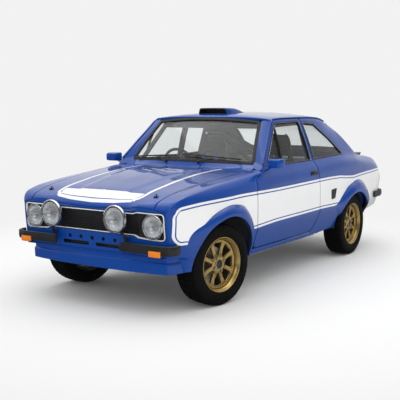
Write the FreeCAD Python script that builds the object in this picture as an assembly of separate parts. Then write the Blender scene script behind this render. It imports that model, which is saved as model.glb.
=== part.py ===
import FreeCAD, Part
import math
import os

# Two-door rally saloon, millimetres.
# The car stands on Z = 0 and faces -Y; +X is its own left side.
# A "station" is a distance behind the front axle, so at(station) gives Y.

# ---------------------------------------------------------------- driving dimensions
WHEELBASE = 2400.0
FRONT_OVERHANG = 716.0        # front axle to the faces of the spot lamps
REAR_OVERHANG = 925.0         # rear axle to the rear bumpers
LENGTH = FRONT_OVERHANG + WHEELBASE + REAR_OVERHANG
FRONT_AXLE_Y = -LENGTH / 2 + FRONT_OVERHANG

TYRE_R = 305.0
TYRE_W = 198.0
RIM_SEAT_R = 190.0
RIM_FLANGE_R = 204.0
RIM_WELL_R = 176.0
HUB_BORE_R = 30.0
FRONT_TRACK_HALF = 658.0      # wheel centre plane to the car's centre plane
REAR_TRACK_HALF = 682.0
STEER_AXIS_X = 530.0          # upright steering axis of each front wheel
STEER_STATION = 12.0
STRUT_R = 22.0
BALL_JOINT_Z = 238.0
STRUT_TOP_Z = 830.0
STEER_AT_REST = -10.0         # degrees about +Z: parked with the wheels to the right

PANEL = 12.0                  # wall of the outer body panels
LID_T = 16.0                  # bonnet and boot lid with their frames
ROOF_T = 24.0                 # roof skin with its lining
PILLAR_T = 30.0               # pillars and window frames
DOOR_T = 75.0                 # whole door, skin to trim
PLATE = 10.0                  # floor, bulkhead and inner panels
GLASS_T = 5.0
GLASS_SET_IN = 8.0            # glass below the skin around it
SHUT = 6.0                    # gap around doors and lids
WIDE_SHUT = 9.0               # wider gap at the front and rear edges of a door
RUN = 0.05                    # radial clearance of a running fit
SEAT_GAP = 0.3                # between curved faces that rest on each other

NOSE = -618.0                 # station of the flat nose
TAIL = WHEELBASE + REAR_OVERHANG - 55      # station of the tail panel
DOOR_FRONT = 446.0            # station of the door's front edge
DOOR_REAR = 1595.0
DOOR_BELT_REAR = 1553.0       # station of its rear edge where the window frame starts
WAIST_X = 785.0               # half-width of the body between the arches
BELT_Z = 945.0                # where the lower body and the roof structure meet
SILL_Z = 300.0                # underside of the sills
JACK_PAD = (600.0, 700.0, 6.0)             # x, station and depth of a jacking pad
DECK_SIDE = 640.0             # half-width of the strip ahead of the boot lid
TUNNEL_HALF = 130.0
EXHAUST_R = 24.0

SEAT_X = 352.0
SEAT_HALF = 210.0
WELL_HALF = 165.0
CAGE_TUBE_R = 20.0
HOOP = 1705.0                 # station of the roll cage's main hoop
COLUMN_TILT = 22.0            # degrees that the steering column rises towards the driver
COLUMN_END = (-350.0, 985.0, 904.0)

# Lower body, one row a station.  Half-widths and heights of one side:
# station, bottom z, sill x, waist x, shoulder x, shoulder z, crest x, crest z, deck z
BODY = (
    (-620, 430, 655, 690, 684, 735, 672, 762, 770),
    (-560, 400, 672, 706, 700, 762, 690, 800, 812),
    (-400, 300, 690, 735, 726, 800, 708, 846, 852),
    (-100, 300, 705, 766, 752, 830, 716, 890, 905),
    (200, 300, 715, 780, 766, 855, 722, 916, 938),
    (600, 300, 722, 785, 772, 880, 728, 950, 960),
    (1600, 300, 725, 785, 775, 905, 718, 985, 985),
    (2200, 300, 718, 781, 773, 930, 712, 1008, 1008),
    (2700, 350, 705, 768, 752, 905, 684, 975, 985),
    (TAIL - 120, 400, 690, 735, 722, 850, 672, 915, 942),
    (TAIL, 420, 680, 712, 700, 800, 655, 895, 928),
)
WAIST_LOW = 520.0
WAIST_HIGH = 720.0

# Roof structure, one row a station:
# station, half-width at BELT_Z, half-width at the drip rail, drip rail z, crown z
CABIN = (
    (540, 722, 566, 1335, 1372),
    (1000, 728, 590, 1354, 1398),
    (1650, 728, 592, 1368, 1412),
    (2150, 712, 584, 1340, 1384),
    (2760, 672, 560, 1300, 1344),
)
SCREEN_FOOT = (598.0, 978.0)     # station and z of the windscreen's middle at its foot
SCREEN_HEAD = (926.0, 1366.0)
SCREEN_BOW = (640.0, 74.0)       # the screen runs back this far at this half-width
BACK_HEAD = (2130.0, 1384.0)     # rear window slope, outer face
BACK_FOOT = (2712.0, 978.0)

# Openings in the side, outlines as (station, z)
DOOR_LOWER = (
    (DOOR_FRONT, 905), (DOOR_FRONT, 400), (DOOR_FRONT + 30, 356), (1456, 346),
    (1545, 400), (DOOR_REAR, 510), (DOOR_REAR - 5, 800), (DOOR_BELT_REAR, 925), (1545, 1000), (640, 990),
    (604, 956), (565, 918),
)
DOOR_UPPER = (
    (575, 925), (610, 962), (1005, 1338), (1040, 1346), (1505, 1350), (DOOR_BELT_REAR, 925),
)
ROOF_EDGE = ((800, 1343), (1000, 1345), (1040, 1354), (1512, 1359), (2100, 1343), (2180, 1337))
DOOR_GLASS = (
    (675, 982), (1010, 1306), (1050, 1317), (1474, 1324), (1513, 990),
)
QUARTER_GLASS = (
    (1572, 992), (1548, 1312), (1600, 1318), (1800, 1305), (2025, 1193), (2330, 1022), (2300, 1006),
)

# Wheel arches: station and z of the centre, lip radius
ARCHES = {"front": (0.0, 302.0, 360.0), "rear": (WHEELBASE, 295.0, 332.0)}
# Blistered arch extensions, edge of the lip in plan, as (station, x)
FLARE_EDGE = {
    "front": ((-470, 700), (-370, 705), (-225, 770), (-88, 813), (176, 828), (343, 790), (388, 750)),
    "rear": ((1930, 700), (2073, 720), (2130, 790), (2216, 822), (2330, 835), (2480, 835),
             (2659, 832), (2715, 780), (2840, 700)),
}
FLARE_RISE = 88.0             # radial height of an arch extension


def vec(x, y, z):
    return FreeCAD.Vector(x, y, z)


def at(station):
    return FRONT_AXLE_Y + station


def face_of(points):
    return Part.Face(Part.makePolygon(points + [points[0]]))


def across(outline, x0, x1):
    """Prism with a side outline of (station, z), from x0 to x1."""
    return face_of([vec(x0, at(s), z) for s, z in outline]).extrude(vec(x1 - x0, 0, 0))


def upright(outline, z0, z1):
    """Prism with a plan outline of (station, x), from z0 to z1."""
    return face_of([vec(x, at(s), z0) for s, x in outline]).extrude(vec(0, 0, z1 - z0))


def along(outline, s0, s1):
    """Prism with a front outline of (x, z), from station s0 to s1."""
    return face_of([vec(x, at(s0), z) for x, z in outline]).extrude(vec(0, s1 - s0, 0))


def block(x0, x1, s0, s1, z0, z1):
    return Part.makeBox(x1 - x0, s1 - s0, z1 - z0, vec(x0, at(s0), z0))


def rod(a, b, r):
    """Round bar between two points given as (x, station, z)."""
    p, q = vec(a[0], at(a[1]), a[2]), vec(b[0], at(b[1]), b[2])
    return Part.makeCylinder(r, (q - p).Length, p, q - p)


def knot(a, r):
    """Ball at the joint of two bars."""
    return Part.makeSphere(r, vec(a[0], at(a[1]), a[2]))


def joined(shapes):
    first, rest = shapes[0], shapes[1:]
    return first.fuse(rest).removeSplitter() if rest else first


def mirrored(shape):
    return shape.mirror(vec(0, 0, 0), vec(1, 0, 0))


def both(shape):
    return [shape, mirrored(shape)]


def save(name, *shapes):
    solids = [solid for shape in shapes for solid in shape.Solids]
    out = solids[0] if len(solids) == 1 else Part.makeCompound(solids)
    out.exportStep("parts/%s.step" % name)


def row_at(rows, station):
    """Row of a table at any station, straight between its neighbours."""
    if station <= rows[0][0]:
        return (station,) + rows[0][1:]
    for low, high in zip(rows, rows[1:]):
        if station <= high[0]:
            k = (station - low[0]) / (high[0] - low[0])
            return tuple(a + (b - a) * k for a, b in zip(low, high))
    return (station,) + rows[-1][1:]


def stations(rows, s0, s1):
    return [s0] + [row[0] for row in rows if s0 + 1 < row[0] < s1 - 1] + [s1]


def loft(rows, outline, s0, s1, inset):
    wires = []
    for station in stations(rows, s0, s1):
        half = outline(row_at(rows, station), inset)
        points = half + [(-x, z) for x, z in reversed(half) if x > 0]
        wires.append(Part.makePolygon([vec(x, at(station), z) for x, z in points + [points[0]]]))
    return Part.makeLoft(wires, True, True)


def body_outline(row, inset):
    station, bottom, sill, waist, shoulder, shoulder_z, crest, crest_z, deck = row
    floor = bottom if inset == 0 else bottom - 60
    return [
        (sill - inset, floor),
        (waist - inset, WAIST_LOW),
        (waist - inset, WAIST_HIGH - inset / 2),
        (shoulder - inset, shoulder_z - inset / 2),
        (crest - inset, crest_z - inset),
        (0.62 * crest, deck - inset),
    ]


def cabin_outline(row, inset):
    station, belt, drip, drip_z, crown = row
    return [
        (belt - inset, BELT_Z - 20),
        (drip - inset, drip_z - inset * 0.6),
        (drip - 70 - inset * 0.5, drip_z + 0.62 * (crown - drip_z) - inset),
        (200, crown - 4 - inset),
    ]


def body(s0, s1, inset=0.0):
    return loft(BODY, body_outline, s0, s1, inset)


def ahead_of_screen(inset):
    """Everything ahead of the windscreen's bowed outer face, moved in by inset."""
    rise = SCREEN_HEAD[1] - SCREEN_FOOT[1]
    run = SCREEN_HEAD[0] - SCREEN_FOOT[0]
    back = inset / math.cos(math.atan2(run, rise))
    s0 = SCREEN_FOOT[0] + back
    half, bow = SCREEN_BOW
    bow_at_1000 = bow * (1000.0 / half) ** 2
    z0, z1 = SCREEN_FOOT[1] - 150, SCREEN_HEAD[1] + 150
    shift = (z0 - SCREEN_FOOT[1]) * run / rise
    ends = [vec(side * 1000, at(s0 + bow_at_1000 + shift), z0) for side in (-1, 1)]
    arc = Part.Arc(ends[0], vec(0, at(s0 + shift), z0), ends[1]).toShape()
    ahead = [vec(side * 1000, at(s0 + shift - 900), z0) for side in (1, -1)]
    rest = Part.makePolygon([ends[1], ahead[0], ahead[1], ends[0]])
    return Part.Face(Part.Wire([arc] + rest.Edges)).extrude(vec(0, (z1 - z0) * run / rise, z1 - z0))


def behind_back(inset):
    """Everything behind the sloping rear window's outer face, moved in by inset."""
    run, fall = BACK_FOOT[0] - BACK_HEAD[0], BACK_HEAD[1] - BACK_FOOT[1]
    length = math.hypot(run, fall)
    ds, dz = -fall / length * inset, -run / length * inset
    head = (BACK_HEAD[0] - run * 0.4 + ds, BACK_HEAD[1] + fall * 0.4 + dz)
    foot = (BACK_FOOT[0] + run * 0.4 + ds, BACK_FOOT[1] - fall * 0.4 + dz)
    return across([head, foot, (3600, foot[1]), (3600, head[1])], -1000, 1000)


def cabin(inset=0.0, s0=560.0, s1=2750.0):
    shape = loft(CABIN, cabin_outline, s0 - inset, s1, inset)
    return shape.cut(ahead_of_screen(inset)).cut(behind_back(inset))


# ---------------------------------------------------------------- plan of the bonnet and boot lid
BONNET_REAR = 560.0           # station of the bonnet's rear edge
BONNET_EDGE = ((NOSE - 10, 566.0), (BONNET_REAR, 636.0))
BOOT_FRONT = 2748.0
BOOT_EDGE = ((BOOT_FRONT, 545.0), (TAIL + 10, 500.0))
BOOT_SILL_Z = 600.0           # lower edge of the boot lid's tail face
FRONT_PANEL_BACK = NOSE + PANEL
REAR_PANEL_FRONT = TAIL - PANEL
SCUTTLE_FRONT = BONNET_REAR + SHUT
BULKHEAD = 430.0              # station of the bulkhead's front face
PLENUM_Z = 880.0
SCREEN_OPENING = ((612, 1003), (522, 1328), (-522, 1328), (-612, 1003))
BACK_OPENING = ((575, 900), (500, 1400), (-500, 1400), (-575, 900))

# Grille opening in the nose, one half, as (x, z)
NOSE_OPENING = (
    (390, 570), (430, 552), (645, 545), (654, 560), (654, 722), (640, 737), (420, 738), (385, 728),
)
HEADLAMP = (550.0, 643.0, 89.0)         # x, z, radius
SPOT_LAMP = (297.0, 687.0, 100.0)
DAM_Z = 304.0
VALANCE_Z = 430.0

# Hinges: pin radius, barrel radius, barrel length
HINGE_PIN_R = 5.0
HINGE_BARREL_R = 8.0
HINGE_BARREL = 40.0
DOOR_HINGE = (758.0, DOOR_FRONT - 38.0)          # x, station of the upright axis
DOOR_HINGE_Z = (535.0, 725.0)
DOOR_LIP = (32.0, 6.0)        # length and thickness of the skin ahead of the door's slab
BONNET_HINGE = (BONNET_REAR + 20.0, 934.0)       # station, z
BOOT_HINGE = (BOOT_FRONT - 20.0, 958.0)
LID_HINGE_X = 440.0
LID_SWEEP_R = 31.0


def plan_of(edge, grow=0.0):
    (s0, x0), (s1, x1) = edge
    return [(s0 - grow, x0 + grow), (s1 + grow, x1 + grow),
            (s1 + grow, -x1 - grow), (s0 - grow, -x0 - grow)]


def both_halves(half):
    return list(half) + [(-x, z) for x, z in reversed(half)]


def arch_hole(end, grow, x0, x1):
    station, z, lip = ARCHES[end]
    return Part.makeCylinder(lip + grow, x1 - x0, vec(x0, at(station), z), vec(1, 0, 0))


def flare(end, skin_x):
    """Blistered extension of one arch on the left side, a solid wedge around its lip."""
    station, z, lip = ARCHES[end]
    edge = FLARE_EDGE[end]
    top = max(x for s, x in edge)
    profile = [(skin_x - 90, lip), (skin_x - 90, lip + FLARE_RISE), (skin_x - 30, lip + FLARE_RISE),
               (top - 20, lip + 22), (top, lip + 12), (top, lip)]
    ring = face_of([vec(x, at(station), z + r) for x, r in profile])
    ring = ring.revolve(vec(0, at(station), z), vec(1, 0, 0), 360)
    s0, s1 = edge[0][0], edge[-1][0]
    keep = upright([(s0, skin_x - 200)] + list(edge) + [(s1, skin_x - 200)], SILL_Z + 10, 900)
    return ring.common(keep)


def stretched(a, b, extra):
    """The same line, longer by extra at both ends."""
    length = math.dist(a, b)
    step = [(q - p) / length * extra for p, q in zip(a, b)]
    return tuple(p - d for p, d in zip(a, step)), tuple(q + d for q, d in zip(b, step))


# ---------------------------------------------------------------- outer panels
def front_wing():
    shell = body(FRONT_PANEL_BACK, SCUTTLE_FRONT).cut(body(NOSE - 40, BONNET_REAR + 60, PANEL))
    zone = across([(FRONT_PANEL_BACK, VALANCE_Z + 2), (-200, VALANCE_Z + 2), (-200, SILL_Z),
                   (DOOR_FRONT - WIDE_SHUT, SILL_Z), (DOOR_FRONT - WIDE_SHUT, 913), (SCUTTLE_FRONT, 928),
                   (SCUTTLE_FRONT, 1100), (FRONT_PANEL_BACK, 1100)], 300, 900)
    panel = shell.common(zone).cut(upright(plan_of(BONNET_EDGE, SHUT), 600, 1100))
    bulge = flare("front", WAIST_X).cut(body(-600, 600, PANEL)).common(zone)
    return panel.fuse(bulge).cut(arch_hole("front", 0, 300, 900)).removeSplitter()


def lid_arms(hinge, reach, skin_drop):
    """Two goosenecks with barrels; reach is +1 for a lid behind its hinge, -1 for one ahead."""
    station, z = hinge
    parts = []
    for x in (LID_HINGE_X, -LID_HINGE_X):
        a, b = (x - HINGE_BARREL / 2, station, z), (x + HINGE_BARREL / 2, station, z)
        low = (x, station + reach * 24, z - 19)
        end = (x, station + reach * 42, z + skin_drop)
        arm = rod((x, station, z), low, 4.5).fuse([knot(low, 4.5), rod(low, end, 4.5)])
        parts.append(arm.fuse(rod(a, b, HINGE_BARREL_R)).cut(rod(a, b, HINGE_PIN_R + RUN)))
    return parts


def lid_pins(hinge, top_z):
    """Fixed half of the two lid hinges: a pin between cheeks that hang from the deck."""
    station, z = hinge
    parts = []
    for x in (LID_HINGE_X, -LID_HINGE_X):
        a, b = (x - HINGE_BARREL / 2, station, z), (x + HINGE_BARREL / 2, station, z)
        parts.append(rod(*stretched(a, b, 8), HINGE_PIN_R))
        for x0 in (x - HINGE_BARREL / 2 - 8, x + HINGE_BARREL / 2 + 0.5):
            parts.append(block(x0, x0 + 7.5, station - 7, station + 9, z - 7, top_z))
    return parts


def swept_clear(hinge):
    """Cut behind a lid's edge that lets it turn about its pins without meeting the strip beside it."""
    station, z = hinge
    return rod((-800, station, z), (800, station, z), LID_SWEEP_R)


def bonnet():
    shell = body(NOSE, BONNET_REAR).cut(body(NOSE - 40, BONNET_REAR + 40, LID_T))
    skin = shell.common(upright(plan_of(BONNET_EDGE), 740, 1100))
    return joined([skin.cut(swept_clear(BONNET_HINGE))] + lid_arms(BONNET_HINGE, -1, 12))


def boot_lid():
    shell = body(BOOT_FRONT, TAIL).cut(body(BOOT_FRONT - 40, TAIL - LID_T, LID_T))
    zone = upright(plan_of(BOOT_EDGE), BOOT_SILL_Z, 1100)
    skin = shell.common(zone)
    return joined([skin.cut(swept_clear(BOOT_HINGE))] + lid_arms(BOOT_HINGE, 1, 12))


def spoiler():
    lip = across([(TAIL - 190, 920), (TAIL - 190, 944), (TAIL - 130, 952), (TAIL + 30, 966), (TAIL + 30, 956),
                  (TAIL - 20, 915)], -492, 492)
    return lip.cut(body(3000, TAIL, -SEAT_GAP)).cut(block(-600, 600, TAIL - 5, TAIL + 60, 0, 925))


def door():
    lower = across(DOOR_LOWER, 600, 900)
    skin = body(DOOR_FRONT, DOOR_REAR).common(lower)
    slab = skin.cut(block(0, WAIST_X - DOOR_T, 300, 1800, 0, 950))
    leaning = along([(678, 900), (545, 1370), (900, 1370), (900, 900)], 500, 1600)
    frame = cabin().cut(cabin(PILLAR_T)).common(across(DOOR_UPPER, 400, 900)).common(leaning)
    lip, lip_t = DOOR_LIP
    slab = slab.cut(block(0, 665, 300, 1800, 0, 1100)).cut(body(400, DOOR_FRONT + lip, lip_t))
    whole = slab.fuse(frame)
    whole = whole.cut(across(DOOR_GLASS, 400, 900))
    x, station = DOOR_HINGE
    for z in DOOR_HINGE_Z:
        a, b = (x, station, z - HINGE_BARREL / 2), (x, station, z + HINGE_BARREL / 2)
        elbow = (x - 43, station + 25, z)
        arm = rod((x, station, z), elbow, 6).fuse([knot(elbow, 6), rod(elbow, (x - 30, station + 76, z), 6)])
        whole = whole.fuse(arm.fuse(rod(a, b, HINGE_BARREL_R)).cut(rod(a, b, HINGE_PIN_R + RUN)))
    return whole.removeSplitter()


def side_glass(outline):
    layer = cabin(GLASS_SET_IN).cut(cabin(GLASS_SET_IN + GLASS_T))
    leaning = along([(660, 900), (540, 1370), (900, 1370), (900, 900)], 500, 2800)
    return layer.common(across(outline, 400, 900)).common(leaning)


def mirror():
    housing = block(775, 890, 600, 690, 970, 1046)
    housing = housing.makeFillet(14, housing.Edges)
    foot = rod((712, 668, 938), (800, 650, 992), 10)
    return housing.fuse(foot).cut(body(500, 800, -SEAT_GAP)).cut(cabin(-SEAT_GAP)).removeSplitter()


def rear_quarter():
    start = DOOR_REAR + WIDE_SHUT
    shell = body(start, REAR_PANEL_FRONT).cut(body(DOOR_REAR - 40, TAIL + 40, PANEL))
    lower = shell.cut(upright(plan_of(BOOT_EDGE, SHUT), 500, 1200)).common(block(0, 900, 1500, 3400, 0, 1200))
    lower = lower.cut(block(0, DECK_SIDE, 1500, BOOT_FRONT - SHUT, 900, 1200))
    roof_side = [point for point in ROOF_EDGE if point[0] > 1500]
    post = DOOR_BELT_REAR + WIDE_SHUT
    pillar = across([(post, 925)] + roof_side + [(2735, 960), (2735, 925)], 300, 900)
    pillars = cabin().cut(cabin(PILLAR_T)).common(pillar).cut(along(BACK_OPENING, 1400, 2800))
    deck = body(2640, 2800, -SEAT_GAP).common(block(0, DECK_SIDE, 2640, 2800, 900, 1200))
    pillars = pillars.cut(deck)
    bulge = flare("rear", WAIST_X).cut(body(1800, 3000, PANEL))
    bulge = bulge.common(block(300, 900, 1700, 3000, SILL_Z, 900))
    whole = lower.fuse([pillars, bulge]).cut(across(QUARTER_GLASS, 400, 900))
    whole = whole.cut(arch_hole("rear", 0, 300, 900))
    door_edge = [(DOOR_REAR + WIDE_SHUT, 300), (DOOR_REAR + WIDE_SHUT, 800), (post + 2, 925),
                 (1505 + WIDE_SHUT, 1359)]
    return whole.cut(across([(1400, 300)] + door_edge + [(1400, 1359)], 300, 900)).removeSplitter()


def roof():
    shell = cabin().cut(cabin(ROOF_T))
    ends = [(ROOF_EDGE[-1][0], 1500), (ROOF_EDGE[0][0], 1500)]
    return shell.common(across(list(ROOF_EDGE) + ends, -900, 900))


def windscreen_frame():
    shell = cabin().cut(cabin(PILLAR_T))
    roof_front = [point for point in ROOF_EDGE if point[0] <= 1000]
    outline = [(400, 940), (590, 940), (992, roof_front[-1][1] - 4)] + list(reversed(roof_front))
    zone = across(outline, -900, 900)
    frame = shell.common(zone).cut(along(SCREEN_OPENING, 400, 1000))
    frame = frame.cut(block(-660, 660, 500, SCUTTLE_FRONT + 26, 900, 1000))
    return frame.cut(body(400, 700)).removeSplitter()


def windscreen():
    layer = cabin(GLASS_SET_IN).cut(cabin(GLASS_SET_IN + GLASS_T))
    return layer.common(along(SCREEN_OPENING, 400, 1000))


def rear_window():
    layer = cabin(GLASS_SET_IN).cut(cabin(GLASS_SET_IN + GLASS_T))
    outline = [(2040, 1340), ROOF_EDGE[-1], (2800, 1337), (2800, 925), (2040, 925)]
    below_roof = across(outline, -900, 900)
    return layer.common(along(BACK_OPENING, 2040, 2800)).common(below_roof).cut(body(2400, 2800, -SEAT_GAP))


def bulkhead():
    """Bulkhead, scuttle and door posts in one pressing, with the fixed halves of the hinges."""
    deck = body(SCUTTLE_FRONT, 640).cut(body(500, 700, PANEL))
    middle = block(-BONNET_EDGE[1][1], BONNET_EDGE[1][1], SCUTTLE_FRONT, 640, 900, 1000)
    corner = across([(SCUTTLE_FRONT, 928), (594, 956), (594, 1000), (SCUTTLE_FRONT, 1000)], -900, 900)
    wall = block(-700, 700, BULKHEAD, BULKHEAD + PLATE, SILL_Z + PLATE, PLENUM_Z)
    shelf = block(-700, 700, BULKHEAD, 612, PLENUM_Z, PLENUM_Z + PLATE).common(body(300, 700, PANEL))
    step = block(-640, 640, 602, 612, PLENUM_Z, 948)
    tunnel_mouth = block(-TUNNEL_HALF, TUNNEL_HALF, 400, 500, 200, 500)
    post = block(600, 700, 397, BULKHEAD, SILL_Z, 880).cut(block(608, 692, 405, 500, 200, 900))
    wall = wall.cut(tunnel_mouth).cut(body(300, 700).cut(body(300, 700, PANEL)))
    parts = [deck.common(middle.fuse(corner)), wall, shelf, step.common(body(300, 700))]
    parts += lid_pins(BONNET_HINGE, 950)
    x, station = DOOR_HINGE
    for side in (1, -1):
        parts.append(post if side > 0 else mirrored(post))
        for z in DOOR_HINGE_Z:
            a, b = (side * x, station, z - HINGE_BARREL / 2), (side * x, station, z + HINGE_BARREL / 2)
            parts.append(rod(*stretched(a, b, 8), HINGE_PIN_R))
            for z0 in (z - HINGE_BARREL / 2 - 8, z + HINGE_BARREL / 2 + 0.5):
                x0, x1 = sorted((side * 690, side * (x + 5)))
                parts.append(block(x0, x1, station - 6, station + 6, z0, z0 + 7.5))
    return joined(parts)


def front_panel():
    plate = body(NOSE, FRONT_PANEL_BACK).common(block(-900, 900, -700, -500, VALANCE_Z, 744))
    plate = plate.cut(along(both_halves(NOSE_OPENING), -700, -500))
    for x in (-212, -106, 0, 106, 212):
        plate = plate.cut(rod((x, -700, 518), (x, -500, 518), 15))
    for side in (1, -1):
        x0, x1 = sorted((side * 35, side * 280))
        plate = plate.cut(block(x0, x1, -700, -500, 457, 487))
    return plate


def dam_plan(inset):
    half = [(-365, 684), (-543, 637), (-600, 330)]
    half = [(s + inset * (s < -400), x - inset) for s, x in half]
    return half + [(-609 + inset, 0)] + [(s, -x) for s, x in reversed(half)]


def air_dam():
    ring = upright(dam_plan(0), DAM_Z, VALANCE_Z).cut(upright(dam_plan(PANEL), DAM_Z - 1, VALANCE_Z - PLATE))
    lip = block(-640, 640, NOSE, -500, VALANCE_Z - PLATE, VALANCE_Z)
    return ring.cut(block(-600, 600, -520, -300, 0, 500)).fuse(lip).removeSplitter()


def grille():
    plate = along(both_halves(NOSE_OPENING), FRONT_PANEL_BACK, FRONT_PANEL_BACK + 8)
    frame = along([(-662, 538), (662, 538), (662, 745), (-662, 745)], FRONT_PANEL_BACK, FRONT_PANEL_BACK + 8)
    plate = plate.fuse(frame)
    x, z, r = HEADLAMP
    for side in (1, -1):
        plate = plate.cut(rod((side * x, -700, z), (side * x, -500, z), r + SEAT_GAP))
    return plate.removeSplitter()


def headlamps():
    x, z, r = HEADLAMP
    bowl = rod((x, NOSE - 4, z), (x, FRONT_PANEL_BACK + 50, z), r)
    return both(bowl.makeFillet(8, [edge for edge in bowl.Edges if edge.BoundBox.YMax < at(NOSE)]))


def spot_lamps():
    x, z, r = SPOT_LAMP
    face = -FRONT_OVERHANG
    bowl = rod((x, face, z), (x, face + 80, z), r)
    bowl = bowl.makeFillet(14, [edge for edge in bowl.Edges if len(edge.Vertexes) == 1])
    elbow = (340, -645, 560)
    stem = rod((x, face + 45, z - r + 8), elbow, 9).fuse([knot(elbow, 9), rod(elbow, (340, NOSE, 535), 9)])
    stem = stem.common(block(0, 900, -800, NOSE, 0, 900))
    return both(bowl.fuse(stem).removeSplitter())


def front_bumpers():
    bar = upright([(-661, 300), (-652, 700), (-600, 752), (-546, 752), (-546, 730), (-588, 728),
                   (-630, 690), (-638, 300)], 458, 525)
    stay = block(420, 450, -645, NOSE, 480, 500)
    return both(bar.fuse(stay).removeSplitter())


def indicators():
    lamp = block(553, 650, -668, -645, 446, 488)
    return both(lamp.cut(front_bumpers()[0]))


def rear_bumpers():
    back = WHEELBASE + REAR_OVERHANG
    bar = upright([(back - 322, 780), (back - 145, 776), (back - 30, 745), (back, 690), (back, 420),
                   (back - 24, 420), (back - 24, 680), (back - 50, 722), (back - 145, 750),
                   (back - 322, 754)], 510, 578)
    stay = block(520, 550, TAIL, back - 20, 530, 555)
    return both(bar.fuse(stay).removeSplitter())


def tail_lamps():
    return both(block(520, 680, TAIL, TAIL + 12, 680, 775))


def rear_panel():
    plate = body(REAR_PANEL_FRONT, TAIL).common(block(-900, 900, 3000, 3400, 430, 1100))
    return plate.cut(upright(plan_of(BOOT_EDGE, SHUT), BOOT_SILL_Z - SHUT, 1100))


def rear_deck():
    """Strip between the rear window and the boot lid, with the parcel shelf ahead of it."""
    strip = body(2690, BOOT_FRONT - SHUT).cut(body(2600, 2800, PANEL))
    strip = strip.common(block(-DECK_SIDE, DECK_SIDE, 2600, 2800, 900, 1100))
    shelf = block(-DECK_SIDE, DECK_SIDE, 2400, 2700, 930, 940).common(cabin(PILLAR_T))
    rib = block(-DECK_SIDE, DECK_SIDE, 2690, 2700, 940, 978)
    return joined([strip, shelf, rib.common(body(2600, 2800))] + lid_pins(BOOT_HINGE, 976))


def inner_wings():
    wall = across([(FRONT_PANEL_BACK + 8, VALANCE_Z), (-495, VALANCE_Z), (-495, 330), (BULKHEAD, 330),
                   (BULKHEAD, 870), (-200, 850), (-560, 740), (FRONT_PANEL_BACK + 8, 735)], 378, 388)
    top = block(380, 640, -75, 95, STRUT_TOP_Z, STRUT_TOP_Z + 12)
    ribs = [across([(s, STRUT_TOP_Z), (s + 8, STRUT_TOP_Z), (s + 8, 700), (s, 700)], 388, 480)
            for s in (-75, 87)]
    return both(joined([wall, top] + ribs))


def floorpan():
    wide = across([(BULKHEAD, 300), (2050, 300), (2050, 480), (2760, 480), (2760, 430),
                   (REAR_PANEL_FRONT, 430), (REAR_PANEL_FRONT, 440), (2770, 440), (2770, 490),
                   (2040, 490), (2040, 310), (BULKHEAD, 310)], -655, 655)
    sill = body(DOOR_FRONT - SHUT, DOOR_REAR + WIDE_SHUT).common(block(640, 900, 300, 1800, 300, 340))
    tunnel = block(-TUNNEL_HALF, TUNNEL_HALF, BULKHEAD, 2050, 300, 500)
    half = TUNNEL_HALF - PLATE
    hollow = block(-half, half, BULKHEAD - 50, 2050 - PLATE, 250, 490)
    shaft_mouth = block(-60, 60, 2030, 2060, 250, 420)
    x, station, depth = JACK_PAD
    pad = block(x - 30, x + 30, station - 30, station + 30, SILL_Z - depth, SILL_Z + 4)
    floor = joined([wide.cut(tunnel), tunnel.cut(hollow).cut(shaft_mouth)] + both(sill) + both(pad))
    for side in (1, -1):
        x0, x1 = (548, 660) if side > 0 else (-660, -548)
        floor = floor.cut(arch_hole("rear", 24, x0, x1))
    return floor


def wheelhouses():
    drum = arch_hole("rear", 24 - SEAT_GAP, 548, 900).cut(arch_hole("rear", 12, 558, 900))
    drum = drum.common(block(500, 900, 1900, 2900, 300, 900)).common(body(1900, 2900, PANEL + SEAT_GAP))
    drum = drum.cut(block(500, 558, 1900, 2900, 0, 480))
    return both(drum)


# ---------------------------------------------------------------- mechanical pieces
def engine():
    return block(-200, 200, -130, 395, 330, 800)


def radiator():
    return block(-260, 260, -550, -505, VALANCE_Z, 725)


def driveline():
    gearbox = across([(395, 320), (395, 470), (600, 440), (900, 410), (900, 320)], -95, 95)
    return joined([gearbox, rod((0, 900, 365), (0, 2266, 318), 32)])


def rear_axle():
    centre = (0, WHEELBASE, TYRE_R)
    tube = rod((-612, WHEELBASE, TYRE_R), (612, WHEELBASE, TYRE_R), 40)
    half = REAR_TRACK_HALF + 60
    stub = rod((-half, WHEELBASE, TYRE_R), (half, WHEELBASE, TYRE_R), HUB_BORE_R - RUN)
    case = rod((-85, WHEELBASE, TYRE_R), (85, WHEELBASE, TYRE_R), 108)
    return joined([tube, stub, case, rod((0, 2271, 317.5), centre, 55)])


def rear_springs():
    leaf = across([(1880, 300), (1880, 286), (2340, 243), (2460, 243), (2970, 330), (2970, 352), (2950, 352),
                   (2460, 264.7), (2340, 264.7), (1930, 300)], 450, 510)
    shackle = block(462, 498, 2935, 2970, 345, 430)
    return both(leaf.fuse(shackle).removeSplitter())


def crossmember():
    beam = block(-330, 330, -48, 48, 240, 330)
    parts = [beam]
    for side in (1, -1):
        eye = side * STEER_AXIS_X
        near_eye = (side * (STEER_AXIS_X - 20), STEER_STATION, 216)
        parts.append(rod((side * 320, STEER_STATION, 252), near_eye, 15))
        parts.append(rod((eye, STEER_STATION, 202), (eye, STEER_STATION, BALL_JOINT_Z), 26))
        x0, x1 = sorted((side * 330, side * 388))
        parts.append(block(x0, x1, -48, 48, 300, 330))
    return joined(parts)


def exhaust():
    route = ((-200, 150, 420), (-260, 150, 420), (-260, 420, 262), (-260, 2200, 262), (-300, 2320, 232),
             (-300, 2500, 232), (-300, 2760, 320), (-300, TAIL - 30, 320))
    parts = [rod(a, b, EXHAUST_R) for a, b in zip(route, route[1:])]
    parts += [knot(a, EXHAUST_R) for a in route[1:-1]]
    parts.append(rod((-300, 2820, 320), (-300, TAIL - 110, 320), 72))
    parts.append(block(-306, -294, 2900, 2930, 380, 430))
    return joined(parts)


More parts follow.
